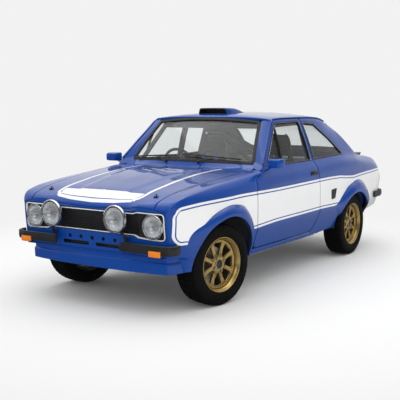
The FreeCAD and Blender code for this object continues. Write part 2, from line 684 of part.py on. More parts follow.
# ---------------------------------------------------------------- cabin
def seat():
    """High-backed bucket seat on the left; its well is where the occupant sits."""
    shell = across([(1130, 400), (1120, 590), (1440, 560), (1500, 900), (1560, 1060), (1575, 1215),
                    (1655, 1215), (1640, 900), (1560, 400)], SEAT_X - SEAT_HALF, SEAT_X + SEAT_HALF)
    well = across([(1100, 510), (1440, 470), (1560, 900), (1600, 1240), (1500, 1240), (1470, 900),
                   (1380, 640), (1100, 640)], SEAT_X - WELL_HALF, SEAT_X + WELL_HALF)
    shell = shell.cut(well)
    for x0 in (SEAT_X - SEAT_HALF - 1, SEAT_X + SEAT_HALF - 44):
        shell = shell.cut(block(x0, x0 + 45, 1400, 1700, 985, 1040))
    feet = [block(x, x + 30, 1180, 1520, SILL_Z + PLATE, 402) for x in (SEAT_X - 150, SEAT_X + 120)]
    return joined([shell] + feet)


def roll_cage():
    r = CAGE_TUBE_R
    foot, elbow, top = (610, HOOP, 310), (610, HOOP, 935), (505, HOOP, 1312)
    front_foot, front_elbow, front_top = (610, 640, 310), (610, 640, 860), (498, 1000, 1290)
    far_top, far_front, stay_foot = (-505, HOOP, 1312), (-498, 1000, 1290), (520, 2330, 655)
    side_bars = ((foot, elbow), (elbow, top), (front_foot, front_elbow), (front_elbow, front_top),
                 (front_top, top), (top, stay_foot))
    cross_bars = ((top, far_top), (front_top, far_front), (far_top, (610, HOOP, 500)),
                  ((610, HOOP, 800), (-610, HOOP, 800)), (far_top, stay_foot))
    parts = []
    for side in (1, -1):
        for a, b in side_bars:
            parts.append(rod((side * a[0], a[1], a[2]), (side * b[0], b[1], b[2]), r))
        for a in (elbow, top, front_elbow, front_top):
            parts.append(knot((side * a[0], a[1], a[2]), r + 4))
    cage = joined(parts)
    for a, b in cross_bars:
        cage = joined([cage, rod(a, b, r)])
    return cage.cut(wheelhouses()).cut(block(-900, 900, 2200, 2500, 0, 648))


def dashboard():
    shelf = across([(612, 800), (612, 936), (700, 936), (790, 900), (790, 830), (700, 800)], -570, 570)
    return joined([shelf, rod((-350, 720, 797), COLUMN_END, 21)])


def column_axis():
    angle = math.radians(COLUMN_TILT)
    return vec(0, math.cos(angle), math.sin(angle))


def steering_wheel():
    axis = column_axis()
    start = vec(COLUMN_END[0], at(COLUMN_END[1]), COLUMN_END[2]) + axis * SEAT_GAP
    hub = Part.makeCylinder(34, 30, start, axis)
    centre = start + axis * 42
    parts = [Part.makeTorus(168, 13, centre, axis), hub]
    side = vec(1, 0, 0)
    up = axis.cross(side)
    for angle in (90, 210, 330):
        a = math.radians(angle)
        direction = side * math.cos(a) + up * math.sin(a)
        foot = start + axis * 18 + direction * 22
        parts.append(Part.makeCylinder(9, 150, foot, direction * 146 + axis * 24))
    return joined(parts)


# ---------------------------------------------------------------- wheels
def turned(shape):
    """The left front wheel's parts as they stand when parked."""
    out = shape.copy()
    out.rotate(vec(STEER_AXIS_X, at(STEER_STATION), 0), vec(0, 0, 1), STEER_AT_REST)
    return out


def spun(profile):
    """Ring about the X axis through the origin, from (x, radius) points."""
    return face_of([vec(x, 0, r) for x, r in profile]).revolve(vec(0, 0, 0), vec(1, 0, 0), 360)


def rim():
    """Eight-spoked rim with hub and brake disc; its outer side is +X."""
    well = spun([(-90, RIM_WELL_R), (90, RIM_WELL_R), (92, RIM_FLANGE_R), (84, RIM_FLANGE_R),
                 (84, RIM_SEAT_R), (-84, RIM_SEAT_R), (-84, RIM_FLANGE_R), (-92, RIM_FLANGE_R)])
    hub = spun([(-46, HUB_BORE_R), (-46, 125), (-32, 125), (-32, 66), (30, 66), (60, 60), (60, HUB_BORE_R)])
    foot, tip = 50, RIM_WELL_R + 2
    spoke = face_of([vec(34, -18, foot), vec(34, 18, foot), vec(34, 15, tip), vec(34, -15, tip)])
    spoke = spoke.extrude(vec(26, 0, 0))
    parts = [well, hub]
    for i in range(8):
        arm = spoke.copy()
        arm.rotate(vec(0, 0, 0), vec(1, 0, 0), 45 * i + 22.5)
        parts.append(arm)
    return joined(parts)


def tyre():
    half = TYRE_W / 2
    bead = RIM_SEAT_R + SEAT_GAP
    right = [(83.7, bead), (83.7, 208), (half - 2, 226), (half, 262), (half - 14, 297), (half - 28, TYRE_R)]
    inner = [(70, bead), (70, 215), (half - 14, 235), (half - 14, 262), (half - 32, 291)]
    outline = right + [(-x, r) for x, r in reversed(right)] + [(-x, r) for x, r in inner]
    return spun(outline + list(reversed(inner)))


def knuckle():
    """Left hub carrier: strut tube on the steering axis and the stub axle that holds the wheel."""
    x, station = STEER_AXIS_X, STEER_STATION
    strut = rod((x, station, BALL_JOINT_Z + SEAT_GAP), (x, station, STRUT_TOP_Z - SEAT_GAP), STRUT_R)
    stub = rod((x, station, TYRE_R), (FRONT_TRACK_HALF + 60, station, TYRE_R), HUB_BORE_R - RUN)
    shoulder = rod((x, station, TYRE_R), (FRONT_TRACK_HALF - 52, station, TYRE_R), 44)
    return turned(joined([strut, stub, shoulder]))


def placed(shape, x, station):
    out = shape.copy()
    out.translate(vec(x, at(station), TYRE_R))
    return out


def vent():
    scoop = across([(1016, 1380), (1016, 1449), (1190, 1449), (1400, 1404), (1400, 1380)], -150, 150)
    mouth = block(-135, 135, 1000, 1110, 1412, 1438)
    return scoop.cut(cabin(-SEAT_GAP)).cut(mouth)


def main():
    os.makedirs("parts", exist_ok=True)
    wing, side, quarter = front_wing(), door(), rear_quarter()
    glass, wing_mirror, knuckles = side_glass(DOOR_GLASS), mirror(), knuckle()
    pairs = {"front_wing": wing, "door": side, "rear_quarter": quarter, "door_glass": glass,
             "mirror": wing_mirror, "knuckle": knuckles, "seat": seat()}
    for name, shape in pairs.items():
        save(name + "_left", shape)
        save(name + "_right", mirrored(shape) if name != "knuckle" else steered_right(shape))
    singles = {"bonnet": [bonnet()], "boot_lid": [boot_lid()], "spoiler": [spoiler()], "roof": [roof()],
               "windscreen_frame": [windscreen_frame()], "windscreen": [windscreen()],
               "rear_window": [rear_window()], "quarter_windows": both(side_glass(QUARTER_GLASS)),
               "bulkhead": [bulkhead()], "front_panel": [front_panel()], "air_dam": [air_dam()],
               "grille": [grille()], "headlamps": headlamps(), "spot_lamps": spot_lamps(),
               "front_bumpers": front_bumpers(), "indicators": indicators(), "rear_bumpers": rear_bumpers(),
               "tail_lamps": tail_lamps(), "rear_panel": [rear_panel()], "rear_deck": [rear_deck()],
               "inner_wings": inner_wings(), "floorpan": [floorpan()], "wheelhouses": wheelhouses(),
               "engine": [engine()], "radiator": [radiator()], "driveline": [driveline()],
               "rear_axle": [rear_axle()], "rear_springs": rear_springs(), "crossmember": [crossmember()],
               "exhaust": [exhaust()], "roll_cage": [roll_cage()], "dashboard": [dashboard()],
               "steering_wheel": [steering_wheel()], "roof_vent": [vent()]}
    for name, shapes in singles.items():
        save(name, *shapes)
    for kind, shape in (("rim", rim()), ("tyre", tyre())):
        front = placed(shape, FRONT_TRACK_HALF, STEER_STATION)
        rear = placed(shape, REAR_TRACK_HALF, WHEELBASE)
        save(kind + "_front_left", turned(front))
        save(kind + "_front_right", steered_right(turned(front)))
        save(kind + "_rear_left", rear)
        save(kind + "_rear_right", mirrored(rear))


def steered_right(left):
    """Right front part from the parked left one: both steer the same way."""
    out = mirrored(left)
    out.rotate(vec(-STEER_AXIS_X, at(STEER_STATION), 0), vec(0, 0, 1), 2 * STEER_AT_REST)
    return out


main()
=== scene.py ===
"""Rally car, the visual model.  Sizes are in millimetres, as (x, station, z): +x is the car's left,
station is the distance behind the front axle and z is the height; place() turns them into the frame."""
import math

import bpy
import numpy as np
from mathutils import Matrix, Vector
from mathutils.geometry import delaunay_2d_cdt


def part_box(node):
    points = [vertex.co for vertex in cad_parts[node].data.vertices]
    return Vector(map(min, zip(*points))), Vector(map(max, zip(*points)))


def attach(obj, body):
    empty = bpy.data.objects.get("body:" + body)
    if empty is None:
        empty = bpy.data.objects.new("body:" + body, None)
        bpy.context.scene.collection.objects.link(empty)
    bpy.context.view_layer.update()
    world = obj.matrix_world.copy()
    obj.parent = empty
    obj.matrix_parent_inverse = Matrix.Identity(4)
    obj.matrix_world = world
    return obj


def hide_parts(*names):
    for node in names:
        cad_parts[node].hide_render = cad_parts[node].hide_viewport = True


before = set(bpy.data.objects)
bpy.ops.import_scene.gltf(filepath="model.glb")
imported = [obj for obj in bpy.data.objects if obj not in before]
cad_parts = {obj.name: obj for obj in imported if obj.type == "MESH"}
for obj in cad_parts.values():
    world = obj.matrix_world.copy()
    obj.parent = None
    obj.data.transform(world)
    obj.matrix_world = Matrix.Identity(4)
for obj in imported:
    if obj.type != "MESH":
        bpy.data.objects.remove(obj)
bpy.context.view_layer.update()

WHEELBASE = 2400.0
TYRE_R = 305.0
FRONT_TRACK_HALF = 658.0
REAR_TRACK_HALF = 682.0
STEER_X, STEER_STATION = 530.0, 12.0
STEER_AT_REST = -10.0         # degrees, both front wheels are parked turned to the right
REAR_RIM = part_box("rim_rear_left")
AXLE_Y = (REAR_RIM[0].y + REAR_RIM[1].y) / 2 - WHEELBASE / 1000
# The roof's back edge curls down by ROOF_FALL: behind CURL_STATION over CURL_RUN, above CURL_Z over CURL_RISE
ROOF_FALL, CURL_STATION, CURL_RUN, CURL_Z, CURL_RISE = 36.0, 1850, 300, 1190, 170


def place(points):
    """Points in millimetres, (x, station, z), in the frame's metres."""
    out = np.array(points, float).reshape(-1, 3)
    back = np.clip((out[:, 1] - CURL_STATION) / CURL_RUN, 0, 1)
    high = np.clip((out[:, 2] - CURL_Z) / CURL_RISE, 0, 1)
    out[:, 2] -= ROOF_FALL * back**2 * high**2 * (3 - 2 * high)
    out /= 1000
    out[:, 1] += AXLE_Y
    return out


# ---------------------------------------------------------------- curves and outlines
def columns(*values):
    return np.stack(values, axis=1)


def curve_through(x, table):
    """Smooth monotone curve through a table of rows (x, y, ...), at the values x."""
    table = np.array(table, float)
    xs, ys = table[:, 0], table[:, 1:]
    x = np.clip(np.atleast_1d(np.asarray(x, float)), xs[0], xs[-1])
    h = np.diff(xs)[:, None]
    d = np.diff(ys, axis=0) / h
    m = np.zeros_like(ys)
    m[0], m[-1] = d[0], d[-1]
    same = d[:-1] * d[1:] > 0
    m[1:-1] = np.where(same, 2 * d[:-1] * d[1:] / np.where(same, d[:-1] + d[1:], 1), 0)
    i = np.clip(np.searchsorted(xs, x, side="right") - 1, 0, len(xs) - 2)
    t = ((x - xs[i]) / h[i, 0])[:, None]
    return ((2 * t**3 - 3 * t**2 + 1) * ys[i] + (t**3 - 2 * t**2 + t) * h[i] * m[i]
            + (3 * t**2 - 2 * t**3) * ys[i + 1] + (t**3 - t**2) * h[i] * m[i + 1])


def resample(points, step, closed=False):
    points = np.array(points, float)
    if closed:
        points = np.vstack([points, points[:1]])
    out = []
    for a, b in zip(points, points[1:]):
        n = max(1, int(math.ceil(np.linalg.norm(b - a) / step)))
        out += [a + (b - a) * k / n for k in range(n)]
    if not closed:
        out.append(points[-1])
    return np.array(out)


def rounded(points, radius, n=5):
    """Closed outline with its corners rounded, radius is one number or one a corner."""
    points = [np.array(p, float) for p in points]
    radii = [radius] * len(points) if np.isscalar(radius) else radius
    out = []
    for i, p in enumerate(points):
        a, b = points[i - 1] - p, points[(i + 1) % len(points)] - p
        la, lb = np.linalg.norm(a), np.linalg.norm(b)
        turn = math.acos(np.clip(a @ b / la / lb, -1, 1))
        cut = min(radii[i] / math.tan(turn / 2), 0.48 * la, 0.48 * lb) if turn < 3.1 else 0
        if cut < 0.05:
            out.append(p)
            continue
        s, e = p + a / la * cut, p + b / lb * cut
        out += [(1 - t)**2 * s + 2 * t * (1 - t) * p + t * t * e for t in np.linspace(0, 1, n + 1)]
    return np.array(out)


def area_of(loop):
    x, y = loop[:, 0], loop[:, 1]
    return 0.5 * np.sum(x * np.roll(y, -1) - y * np.roll(x, -1))


def ccw(loop):
    """The loop as an array that runs anticlockwise."""
    loop = np.array(loop, float)
    return loop if area_of(loop) > 0 else loop[::-1]


def superellipse(count, power):
    """Loop of half-width and half-height 1 that gets squarer as power falls below 1."""
    t = np.arange(count) * 2 * math.pi / count
    c, s = np.cos(t), np.sin(t)
    return columns(np.sign(c) * np.abs(c)**power, np.sign(s) * np.abs(s)**power)


def oval(at, half_width, half_height, count):
    t = np.arange(count) * 2 * math.pi / count
    return columns(at[0] + half_width * np.cos(t), at[1] + half_height * np.sin(t))


def inside(points, loop):
    x, y = points[:, 0][:, None], points[:, 1][:, None]
    a, b = loop, np.roll(loop, -1, axis=0)
    crosses = (a[:, 1] > y) != (b[:, 1] > y)
    rise = np.where(b[:, 1] == a[:, 1], 1e-12, b[:, 1] - a[:, 1])
    at = a[:, 0] + (y - a[:, 1]) * (b[:, 0] - a[:, 0]) / rise
    return (crosses & (x < at)).sum(axis=1) % 2 == 1


def distance_to(points, loops):
    best = np.full(len(points), 1e9)
    for loop in loops:
        a = loop
        d = np.roll(loop, -1, axis=0) - a
        length = np.maximum((d**2).sum(axis=1), 1e-12)
        for i in range(0, len(points), 2000):
            p = points[i:i + 2000, None, :] - a
            t = np.clip((p * d).sum(axis=2) / length, 0, 1)
            gap = np.sqrt((((p - t[..., None] * d))**2).sum(axis=2)).min(axis=1)
            best[i:i + 2000] = np.minimum(best[i:i + 2000], gap)
    return best


def unit(vectors):
    return vectors / np.maximum(np.linalg.norm(vectors, axis=1), 1e-9)[:, None]


def directions(path, closed=False):
    """Unit vector along a path at each of its points."""
    out = np.roll(path, -1, axis=0) - np.roll(path, 1, axis=0)
    if not closed:
        out[0], out[-1] = path[1] - path[0], path[-1] - path[-2]
    return unit(out)


def offset(loop, gap):
    """Points of a loop moved to its left by gap."""
    d = directions(loop, closed=True)
    return loop + gap * columns(-d[:, 1], d[:, 0])


def normals(surface, uv):
    """Unit normals of a surface, a function from two numbers to a point."""
    du = surface(uv + [0.5, 0]) - surface(uv - [0.5, 0])
    dv = surface(uv + [0, 0.5]) - surface(uv - [0, 0.5])
    return unit(np.cross(du, dv))


# ---------------------------------------------------------------- meshes
SIDES = ((1, "left"), (-1, "right"))      # the sign of x on each side


class Shape:
    """Points in millimetres, faces and their material indices, gathered for one mesh."""

    def __init__(self):
        self.points, self.faces, self.index = [], [], []

    def add(self, points, faces, index=0):
        base = len(self.points)
        self.points += [tuple(p) for p in np.asarray(points, float).tolist()]
        self.faces += [tuple(base + int(v) for v in face) for face in faces]
        self.index += list(index) if np.ndim(index) else [index] * len(faces)
        return self

    def mirror(self):
        out = Shape()
        out.points = [(-x, y, z) for x, y, z in self.points]
        out.faces = [tuple(reversed(face)) for face in self.faces]
        out.index = list(self.index)
        return out

    def moved(self, move):
        out = Shape()
        out.points = np.array(move(np.array(self.points, float))).tolist()
        out.faces, out.index = list(self.faces), list(self.index)
        return out

    def join(self, *others, index=None):
        """Takes other shapes in, with their own material indices or with this one."""
        for other in others:
            self.add(other.points, other.faces, other.index if index is None else index)
        return self

    def make(self, name, materials, body="root", nodes=(), slot=None, angle=35):
        """Mesh object that rides on a body and stands for some CAD nodes. Faces with the index -1, a
        panel's inner skin, take the last of four materials."""
        mesh = bpy.data.meshes.new(name)
        mesh.from_pydata(place(self.points).tolist(), [], [list(map(int, f)) for f in self.faces])
        for material in materials:
            mesh.materials.append(material)
        inner = len(materials) - 1 if len(materials) > 3 else 0
        index = [inner if i < 0 else i for i in self.index]
        mesh.polygons.foreach_set("material_index", np.array(index, np.int32))
        mesh.validate()
        mesh.shade_smooth()
        mesh.set_sharp_from_angle(angle=math.radians(angle))
        obj = bpy.data.objects.new(name, mesh)
        bpy.context.scene.collection.objects.link(obj)
        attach(obj, body)
        if nodes:
            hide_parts(*nodes)
        return obj


def grid_faces(rows, columns, close_rows=False, close_columns=False):
    faces = []
    for i in range(rows if close_rows else rows - 1):
        for j in range(columns if close_columns else columns - 1):
            a, b = i * columns + j, i * columns + (j + 1) % columns
            c, d = ((i + 1) % rows) * columns + (j + 1) % columns, ((i + 1) % rows) * columns + j
            faces.append((a, b, c, d))
    return faces


def loft(rings, closed=True, caps=True):
    """Skin through rings of equally many points."""
    rings = np.array(rings, float)
    n, m = rings.shape[:2]
    faces = grid_faces(n, m, close_columns=closed)
    if caps:
        faces += [tuple(reversed(range(m))), tuple(range((n - 1) * m, n * m))]
    return Shape().add(rings.reshape(-1, 3), faces)


def lathe(profile, n, closed=False):
    """Profile of (x, radius) turned about the x axis."""
    profile = np.array(profile, float)
    t = np.arange(n) * 2 * math.pi / n
    x = np.repeat(profile[None, :, 0], n, 0)
    r = profile[None, :, 1]
    pts = np.stack([x, r * np.cos(t)[:, None], r * np.sin(t)[:, None]], axis=2)
    return Shape().add(pts.reshape(-1, 3), grid_faces(n, len(profile), close_rows=True, close_columns=closed))


def tube(path, radius, sides=10, closed=False, squash=None):
    """Round bar along a path; squash = (width, height) makes it oval, height along z."""
    path = np.array(path, float)
    ahead = directions(path, closed)
    up = np.array([0, 0, 1.0]) if abs(ahead[:, 2]).mean() < 0.9 else np.array([0, 1.0, 0])
    rings = []
    for p, d in zip(path, ahead):
        side = np.cross(d, up)
        side /= max(np.linalg.norm(side), 1e-9)
        top = np.cross(side, d)
        w, h = squash or (radius, radius)
        t = np.arange(sides) * 2 * math.pi / sides
        rings.append(p + np.outer(np.cos(t) * w, side) + np.outer(np.sin(t) * h, top))
    rings = np.array(rings)
    faces = grid_faces(len(path), sides, close_rows=closed, close_columns=True)
    if not closed:
        faces += [tuple(reversed(range(sides))), tuple(range((len(path) - 1) * sides, len(path) * sides))]
    faces = [tuple(reversed(f)) for f in faces]
    return Shape().add(rings.reshape(-1, 3), faces)


def bar(outline, x0, x1, bevel=3.0, plane="yz"):
    """Prism of a closed outline with softened ends; plane yz spans x, xy spans z and xz spans y."""
    outline = ccw(outline)
    rings = []
    for at, inset in ((x0, bevel), (x0 + 0.3 * bevel, 0.3 * bevel), (x0 + bevel, 0), (x1 - bevel, 0),
                      (x1 - 0.3 * bevel, 0.3 * bevel), (x1, bevel)):
        loop = offset(outline, inset)
        a, b, c = loop[:, 0], loop[:, 1], np.full(len(loop), float(at))
        rings.append(np.stack({"yz": (c, a, b), "xy": (a, b, c), "xz": (b, c, a)}[plane], axis=1))
    return loft(rings)


def panel(surface, outline, holes=(), marks=(), paint=None, thick=12.0, radius=4.0, step=22.0, seams=()):
    """Pressed panel: a sheet of a surface inside an outline, rounded at its edges, with an inner skin.
    The outline and holes are loops in the surface's own two numbers, marks are lines drawn on it and
    seams are lines of the outline where the surface runs on into the next panel."""
    outer = ccw(outline)
    loops = [outer] + [ccw(hole)[::-1] for hole in holes]
    points, edges = [], []
    for loop in loops:
        base = len(points)
        points += loop.tolist()
        edges += [(base + i, base + (i + 1) % len(loop)) for i in range(len(loop))]
    for mark in marks:
        base = len(points)
        points += np.asarray(mark).tolist()
        edges += [(base + i, base + i + 1) for i in range(len(mark) - 1)]
    free = []
    for share in (0.12, 0.45, 1.0) if radius else ():
        for loop in loops:
            moved = offset(loop, share * radius)
            keep = distance_to(moved, loops) > 0.97 * share * radius
            free.append(moved[keep])
    low, high = outer.min(axis=0), outer.max(axis=0)
    a, b = np.meshgrid(np.arange(low[0] + step / 3, high[0], step), np.arange(low[1] + step / 3, high[1], step))
    a = a + (np.arange(a.shape[0]) % 2)[:, None] * step / 2
    grid = columns(a.ravel(), b.ravel())
    grid = grid[distance_to(grid, loops) > radius + 0.35 * step]
    free.append(grid)
    every = [Vector(p) for p in points] + [Vector(p) for group in free for p in group.tolist()]
    flat, _, tris, *_ = delaunay_2d_cdt(every, edges, [], 0, 1e-4)
    flat, tris = np.array([tuple(p) for p in flat]), np.array([t for t in tris if len(t) == 3])
    middle = flat[tris].mean(axis=1)
    keep = inside(middle, loops[0])
    for hole in loops[1:]:
        keep &= ~inside(middle, hole)
    tris = tris[keep]
    e1, e2 = flat[tris[:, 1]] - flat[tris[:, 0]], flat[tris[:, 2]] - flat[tris[:, 0]]
    turn = e1[:, 0] * e2[:, 1] - e1[:, 1] * e2[:, 0]
    tris[turn < 0] = tris[turn < 0][:, ::-1]
    tris = tris[np.abs(turn) > 1e-6]
    used, back = np.unique(tris, return_inverse=True)
    flat, tris = flat[used], back.reshape(tris.shape)
    here = surface(flat)
    normal = normals(surface, flat)
    depth = np.zeros(len(flat))
    if radius:
        d = np.minimum(distance_to(flat, loops), radius)
        depth = radius - np.sqrt(np.maximum(radius**2 - (radius - d)**2, 0))
        if len(seams):
            both_ways = [np.vstack([seam, np.array(seam)[::-1]]) for seam in seams]
            depth[distance_to(flat, both_ways) <= distance_to(flat, loops) + 0.6] = 0
    top = here - normal * depth[:, None]
    deep = thick(here) if callable(thick) else np.full(len(flat), float(thick))
    low = here - normal * np.maximum(deep, depth + 0.5)[:, None]
    count = len(flat)
    pairs = dict.fromkeys((t[i], t[(i + 1) % 3]) for t in tris.tolist() for i in range(3))
    rim = [(i, j) for i, j in pairs if (j, i) not in pairs]
    index = paint(here[tris].mean(axis=1)) if paint else np.zeros(len(tris), int)
    under = [tuple(reversed([count + v for v in t])) for t in tris]
    walls = [(j, i, count + i, count + j) for i, j in rim]
    return Shape().add(np.vstack([top, low]), [tuple(t) for t in tris] + under + walls,
                       list(index) + [-1] * len(under) + [0] * len(walls))


# ---------------------------------------------------------------- body surface
# One row a station; the columns run up the side and over the bonnet or the tail's deck to the middle:
# u, sill (x, z), waist low (x, z), waist high (x, z), shoulder (x, z), crest (x, z),
# then the height at x = 562, 437, 373 and 0
BODY = (
    (-640, 640, 425, 652, 500, 656, 620, 656, 700, 664, 745, 768, 775, 757, 744),
    (-618, 650, 425, 668, 500, 674, 640, 675, 715, 682, 764, 781, 785, 770, 764),
    (-596, 657, 425, 684, 510, 692, 670, 690, 735, 694, 786, 797, 797, 787, 783),
    (-560, 670, 420, 704, 520, 710, 690, 705, 765, 702, 812, 815, 812, 808, 808),
    (-480, 686, 360, 726, 520, 732, 700, 722, 788, 711, 836, 838, 836, 836, 838),
    (-400, 692, 300, 742, 520, 745, 705, 735, 803, 715, 853, 855, 855, 857, 859),
    (-250, 699, 300, 760, 520, 762, 712, 748, 820, 717, 872, 878, 880, 883, 887),
    (-100, 705, 300, 771, 520, 772, 716, 757, 834, 719, 888, 898, 903, 907, 914),
    (80, 711, 300, 779, 520, 780, 720, 765, 850, 723, 904, 917, 924, 929, 938),
    (200, 715, 300, 782, 520, 783, 720, 768, 858, 725, 914, 928, 936, 941, 948),
    (400, 719, 300, 784, 520, 785, 720, 771, 872, 728, 933, 943, 949, 952, 956),
    (600, 722, 300, 785, 520, 785, 720, 772, 884, 730, 950, 955, 957, 958, 960),
    (1600, 725, 300, 785, 520, 785, 720, 775, 905, 722, 985, 986, 987, 987, 988),
    (2200, 720, 300, 783, 520, 782, 720, 775, 930, 716, 1000, 1001, 1002, 1002, 1003),
    (2500, 712, 330, 777, 520, 777, 720, 769, 925, 705, 990, 997, 998, 999, 1000),
    (2750, 704, 360, 768, 520, 768, 720, 757, 900, 690, 968, 980, 982, 983, 984),
    (3000, 697, 392, 753, 520, 754, 720, 742, 870, 684, 943, 962, 965, 966, 968),
    (3150, 692, 402, 739, 520, 742, 720, 728, 848, 677, 922, 947, 951, 952, 955),
    (3230, 686, 412, 726, 520, 730, 715, 712, 828, 664, 903, 930, 935, 937, 940),
    (3262, 676, 420, 708, 530, 712, 705, 695, 812, 652, 888, 912, 918, 920, 924),
)
GIRTH = (0, 225, 425, 590, 675, 828, 953, 1017, 1390)    # of the columns, up and over
CREST = 675
# The tail bulges behind its base station by this much at each height
TAIL_BULGE = ((400, -10), (520, -4), (616, 12), (711, 47), (782, 22), (860, -2), (905, -14), (960, -22))
NOSE_ROLL = ((-640, -621), (-618, -612), (-596, -594), (-560, -560), (3400, 3400))
# Roof structure: station, half-width and height of the drip rail, height of the crown
CABIN = (
    (540, 566, 1320, 1352), (915, 588, 1340, 1368), (1000, 592, 1353, 1392), (1200, 594, 1364, 1405),
    (1650, 593, 1368, 1412), (1950, 588, 1358, 1402), (2150, 582, 1338, 1382), (2300, 576, 1312, 1352),
    (2860, 560, 1290, 1320),
)
RAIL = CREST + 390
CROWN = RAIL + 600
U_STEP, G_STEP = 8.0, 5.0
TAIL_START, TAIL_LENGTH = 3000, 262       # where the tail starts to bulge, and over what length
NOSE_START, NOSE_LENGTH = -480, 160       # the same for the nose's lean
CAREFUL_FROM = 2900                       # girth_at() takes smaller steps behind this station


def mellow(rows, sigma=3.2):
    """Rounds the corners of every section; sigma counts columns, and the car's other half follows the end."""
    k = int(3 * sigma)
    weights = np.exp(-0.5 * (np.arange(-k, k + 1) / sigma)**2)
    weights /= weights.sum()
    start = 2 * rows[:, :1] - rows[:, k:0:-1]
    end = rows[:, -2:-k - 2:-1] * np.array([-1, 1])
    padded = np.concatenate([start, rows, end], axis=1)
    return sum(w * padded[:, i:i + rows.shape[1]] for i, w in enumerate(weights))


class Surface:
    """Grid of points over (u, girth) with smooth lookup."""

    def __init__(self, u0, u1, end, section):
        self.u = np.arange(u0, u1 + U_STEP, U_STEP)
        self.g = np.arange(0, end + G_STEP, G_STEP)
        rows = mellow(section(self.u, self.g))
        x, z = rows[..., 0], rows[..., 1]
        base = curve_through(self.u, NOSE_ROLL)[:, :1]
        tail = np.clip((self.u - TAIL_START) / TAIL_LENGTH, 0, 1)[:, None]**2
        bulge = curve_through(z.ravel(), TAIL_BULGE).reshape(z.shape)
        lean = np.clip((NOSE_START - self.u) / NOSE_LENGTH, 0, 1)[:, None]**2 * nose_lean(x, z)
        self.p = np.stack([x, base + tail * bulge + lean, z], axis=2)

    def __call__(self, ug):
        ug = np.asarray(ug, float)
        a = np.clip((ug[:, 0] - self.u[0]) / U_STEP, 0, len(self.u) - 1.001)
        b = np.clip((ug[:, 1] - self.g[0]) / G_STEP, 0, len(self.g) - 1.001)
        i, j = a.astype(int), b.astype(int)
        s, t = (a - i)[:, None], (b - j)[:, None]
        p = self.p
        return ((1 - s) * (1 - t) * p[i, j] + s * (1 - t) * p[i + 1, j]
                + (1 - s) * t * p[i, j + 1] + s * t * p[i + 1, j + 1])

    def u_at(self, stations):
        table = np.array(NOSE_ROLL, float)
        return np.interp(stations, table[:, 1], table[:, 0])

    def girth_at(self, stations, values, axis):
        """(u, girth) where the surface has x (axis 0) or z (axis 2) at these values."""
        stations = np.asarray(stations, float)
        u = np.clip(self.u_at(stations), self.u[0], self.u[-1])
        for _ in range(4):      # u and station differ where nose and tail bulge
            g = self.across(u, values, axis)
            here = self(columns(u, g))
            share = np.where(stations < CAREFUL_FROM, 1.0, 0.8)
            u = np.clip(u + share * (stations - here[:, 1]), self.u[0], self.u[-1])
        return columns(u, self.across(u, values, axis))

    def across(self, us, values, axis):
        out, first = [], int(CREST // G_STEP)
        for u, v in zip(us, values):
            k = min((u - self.u[0]) / U_STEP, len(self.u) - 1.001)
            i, t = int(k), k - int(k)
            line = (1 - t) * self.p[i, :, axis] + t * self.p[i + 1, :, axis]
            if axis == 0:
                out.append(np.interp(-v, np.maximum.accumulate(-line[first:]), self.g[first:]))
            else:
                out.append(np.interp(v, np.maximum.accumulate(line), self.g))
        return np.array(out)


def nose_lean(x, z):
    """How far the nose's face falls back at (x, z)."""
    lean = np.interp(z, [425, 545, 640, 745], [24, 18, 8, 0])
    return lean + 18 * (np.clip(np.abs(x) - 500, 0, 200) / 190)**2


def body_rows(u):
    return curve_through(u, BODY)


def body_section(u, g):
    r = body_rows(u)
    crest = r[:, 8:10]
    share = np.array([562, 437, 373, 0]) / 700
    xs = np.concatenate([r[:, 0:10:2], crest[:, :1] * share], axis=1)
    zs = np.concatenate([r[:, 1:10:2], r[:, 10:14]], axis=1)
    return np.stack([[np.interp(g, GIRTH, a) for a in xs], [np.interp(g, GIRTH, a) for a in zs]], axis=2)


def cabin_section(u, g):
    r = body_rows(u)
    c = curve_through(u, CABIN)
    out = []
    roof = np.linspace(0, 1, 13)
    arc = np.concatenate([[0, CREST - 85, CREST, CREST + 195], RAIL + roof * (CROWN - RAIL)])
    for row, (half, rail, crown) in zip(r, c):
        x = [row[0], 0, row[8], (row[8] + half) / 2 + 9]
        z = [row[1], 0, row[9], (row[9] + rail) / 2]
        xs = list(np.interp(g[g < CREST], GIRTH[:5], row[0:10:2]))
        zs = list(np.interp(g[g < CREST], GIRTH[:5], row[1:10:2]))
        up = g[g >= CREST]
        xr, zr = half * (1 - roof), rail + (crown - rail) * (1 - (1 - roof)**2.3)
        xs += list(np.interp(up, arc[2:], [x[2], x[3]] + list(xr)))
        zs += list(np.interp(up, arc[2:], [z[2], z[3]] + list(zr)))
        out.append(columns(xs, zs))
    return np.array(out)


NOSE_U, TAIL_U = -640.0, 3272.0           # the lower body's ends, in u
LOWER = Surface(NOSE_U, TAIL_U, GIRTH[-1], body_section)
UPPER = Surface(420, 2840, CROWN, cabin_section)


def side_line(surface, points, step=9.0):
    """Line given in side view, as (station, z), on a surface."""
    return surface.girth_at(*resample(points, step).T, 2)


def plan_line(surface, points, step=9.0):
    """Line given in plan, as (station, x), on a surface."""
    return surface.girth_at(*resample(points, step).T, 0)


# ---------------------------------------------------------------- painted bands
# The white band on each side lies between these lines, as (station, z), starts at BAND_FRONT and has a
# blue line and a white line around it
BAND_TOP = (
    (-640, 735), (-560, 744), (-520, 750), (-420, 760), (-264, 768), (5, 773), (240, 779), (738, 777),
    (1295, 783), (1829, 789), (2024, 786), (2220, 772), (2399, 763), (2575, 771), (2974, 780), (3330, 786),
)
BAND_LOW = (
    (-640, 541), (-562, 541), (-478, 543), (-390, 530), (-300, 530), (400, 545), (800, 560), (1283, 563),
    (1632, 566), (1780, 564), (2500, 540), (2700, 380), (3330, 380),
)
BAND_FRONT, BAND_CORNER, BAND_MIN_X = -552.0, 52.0, 600
LINE_BLUE, LINE_WHITE = 9.0, 17.0
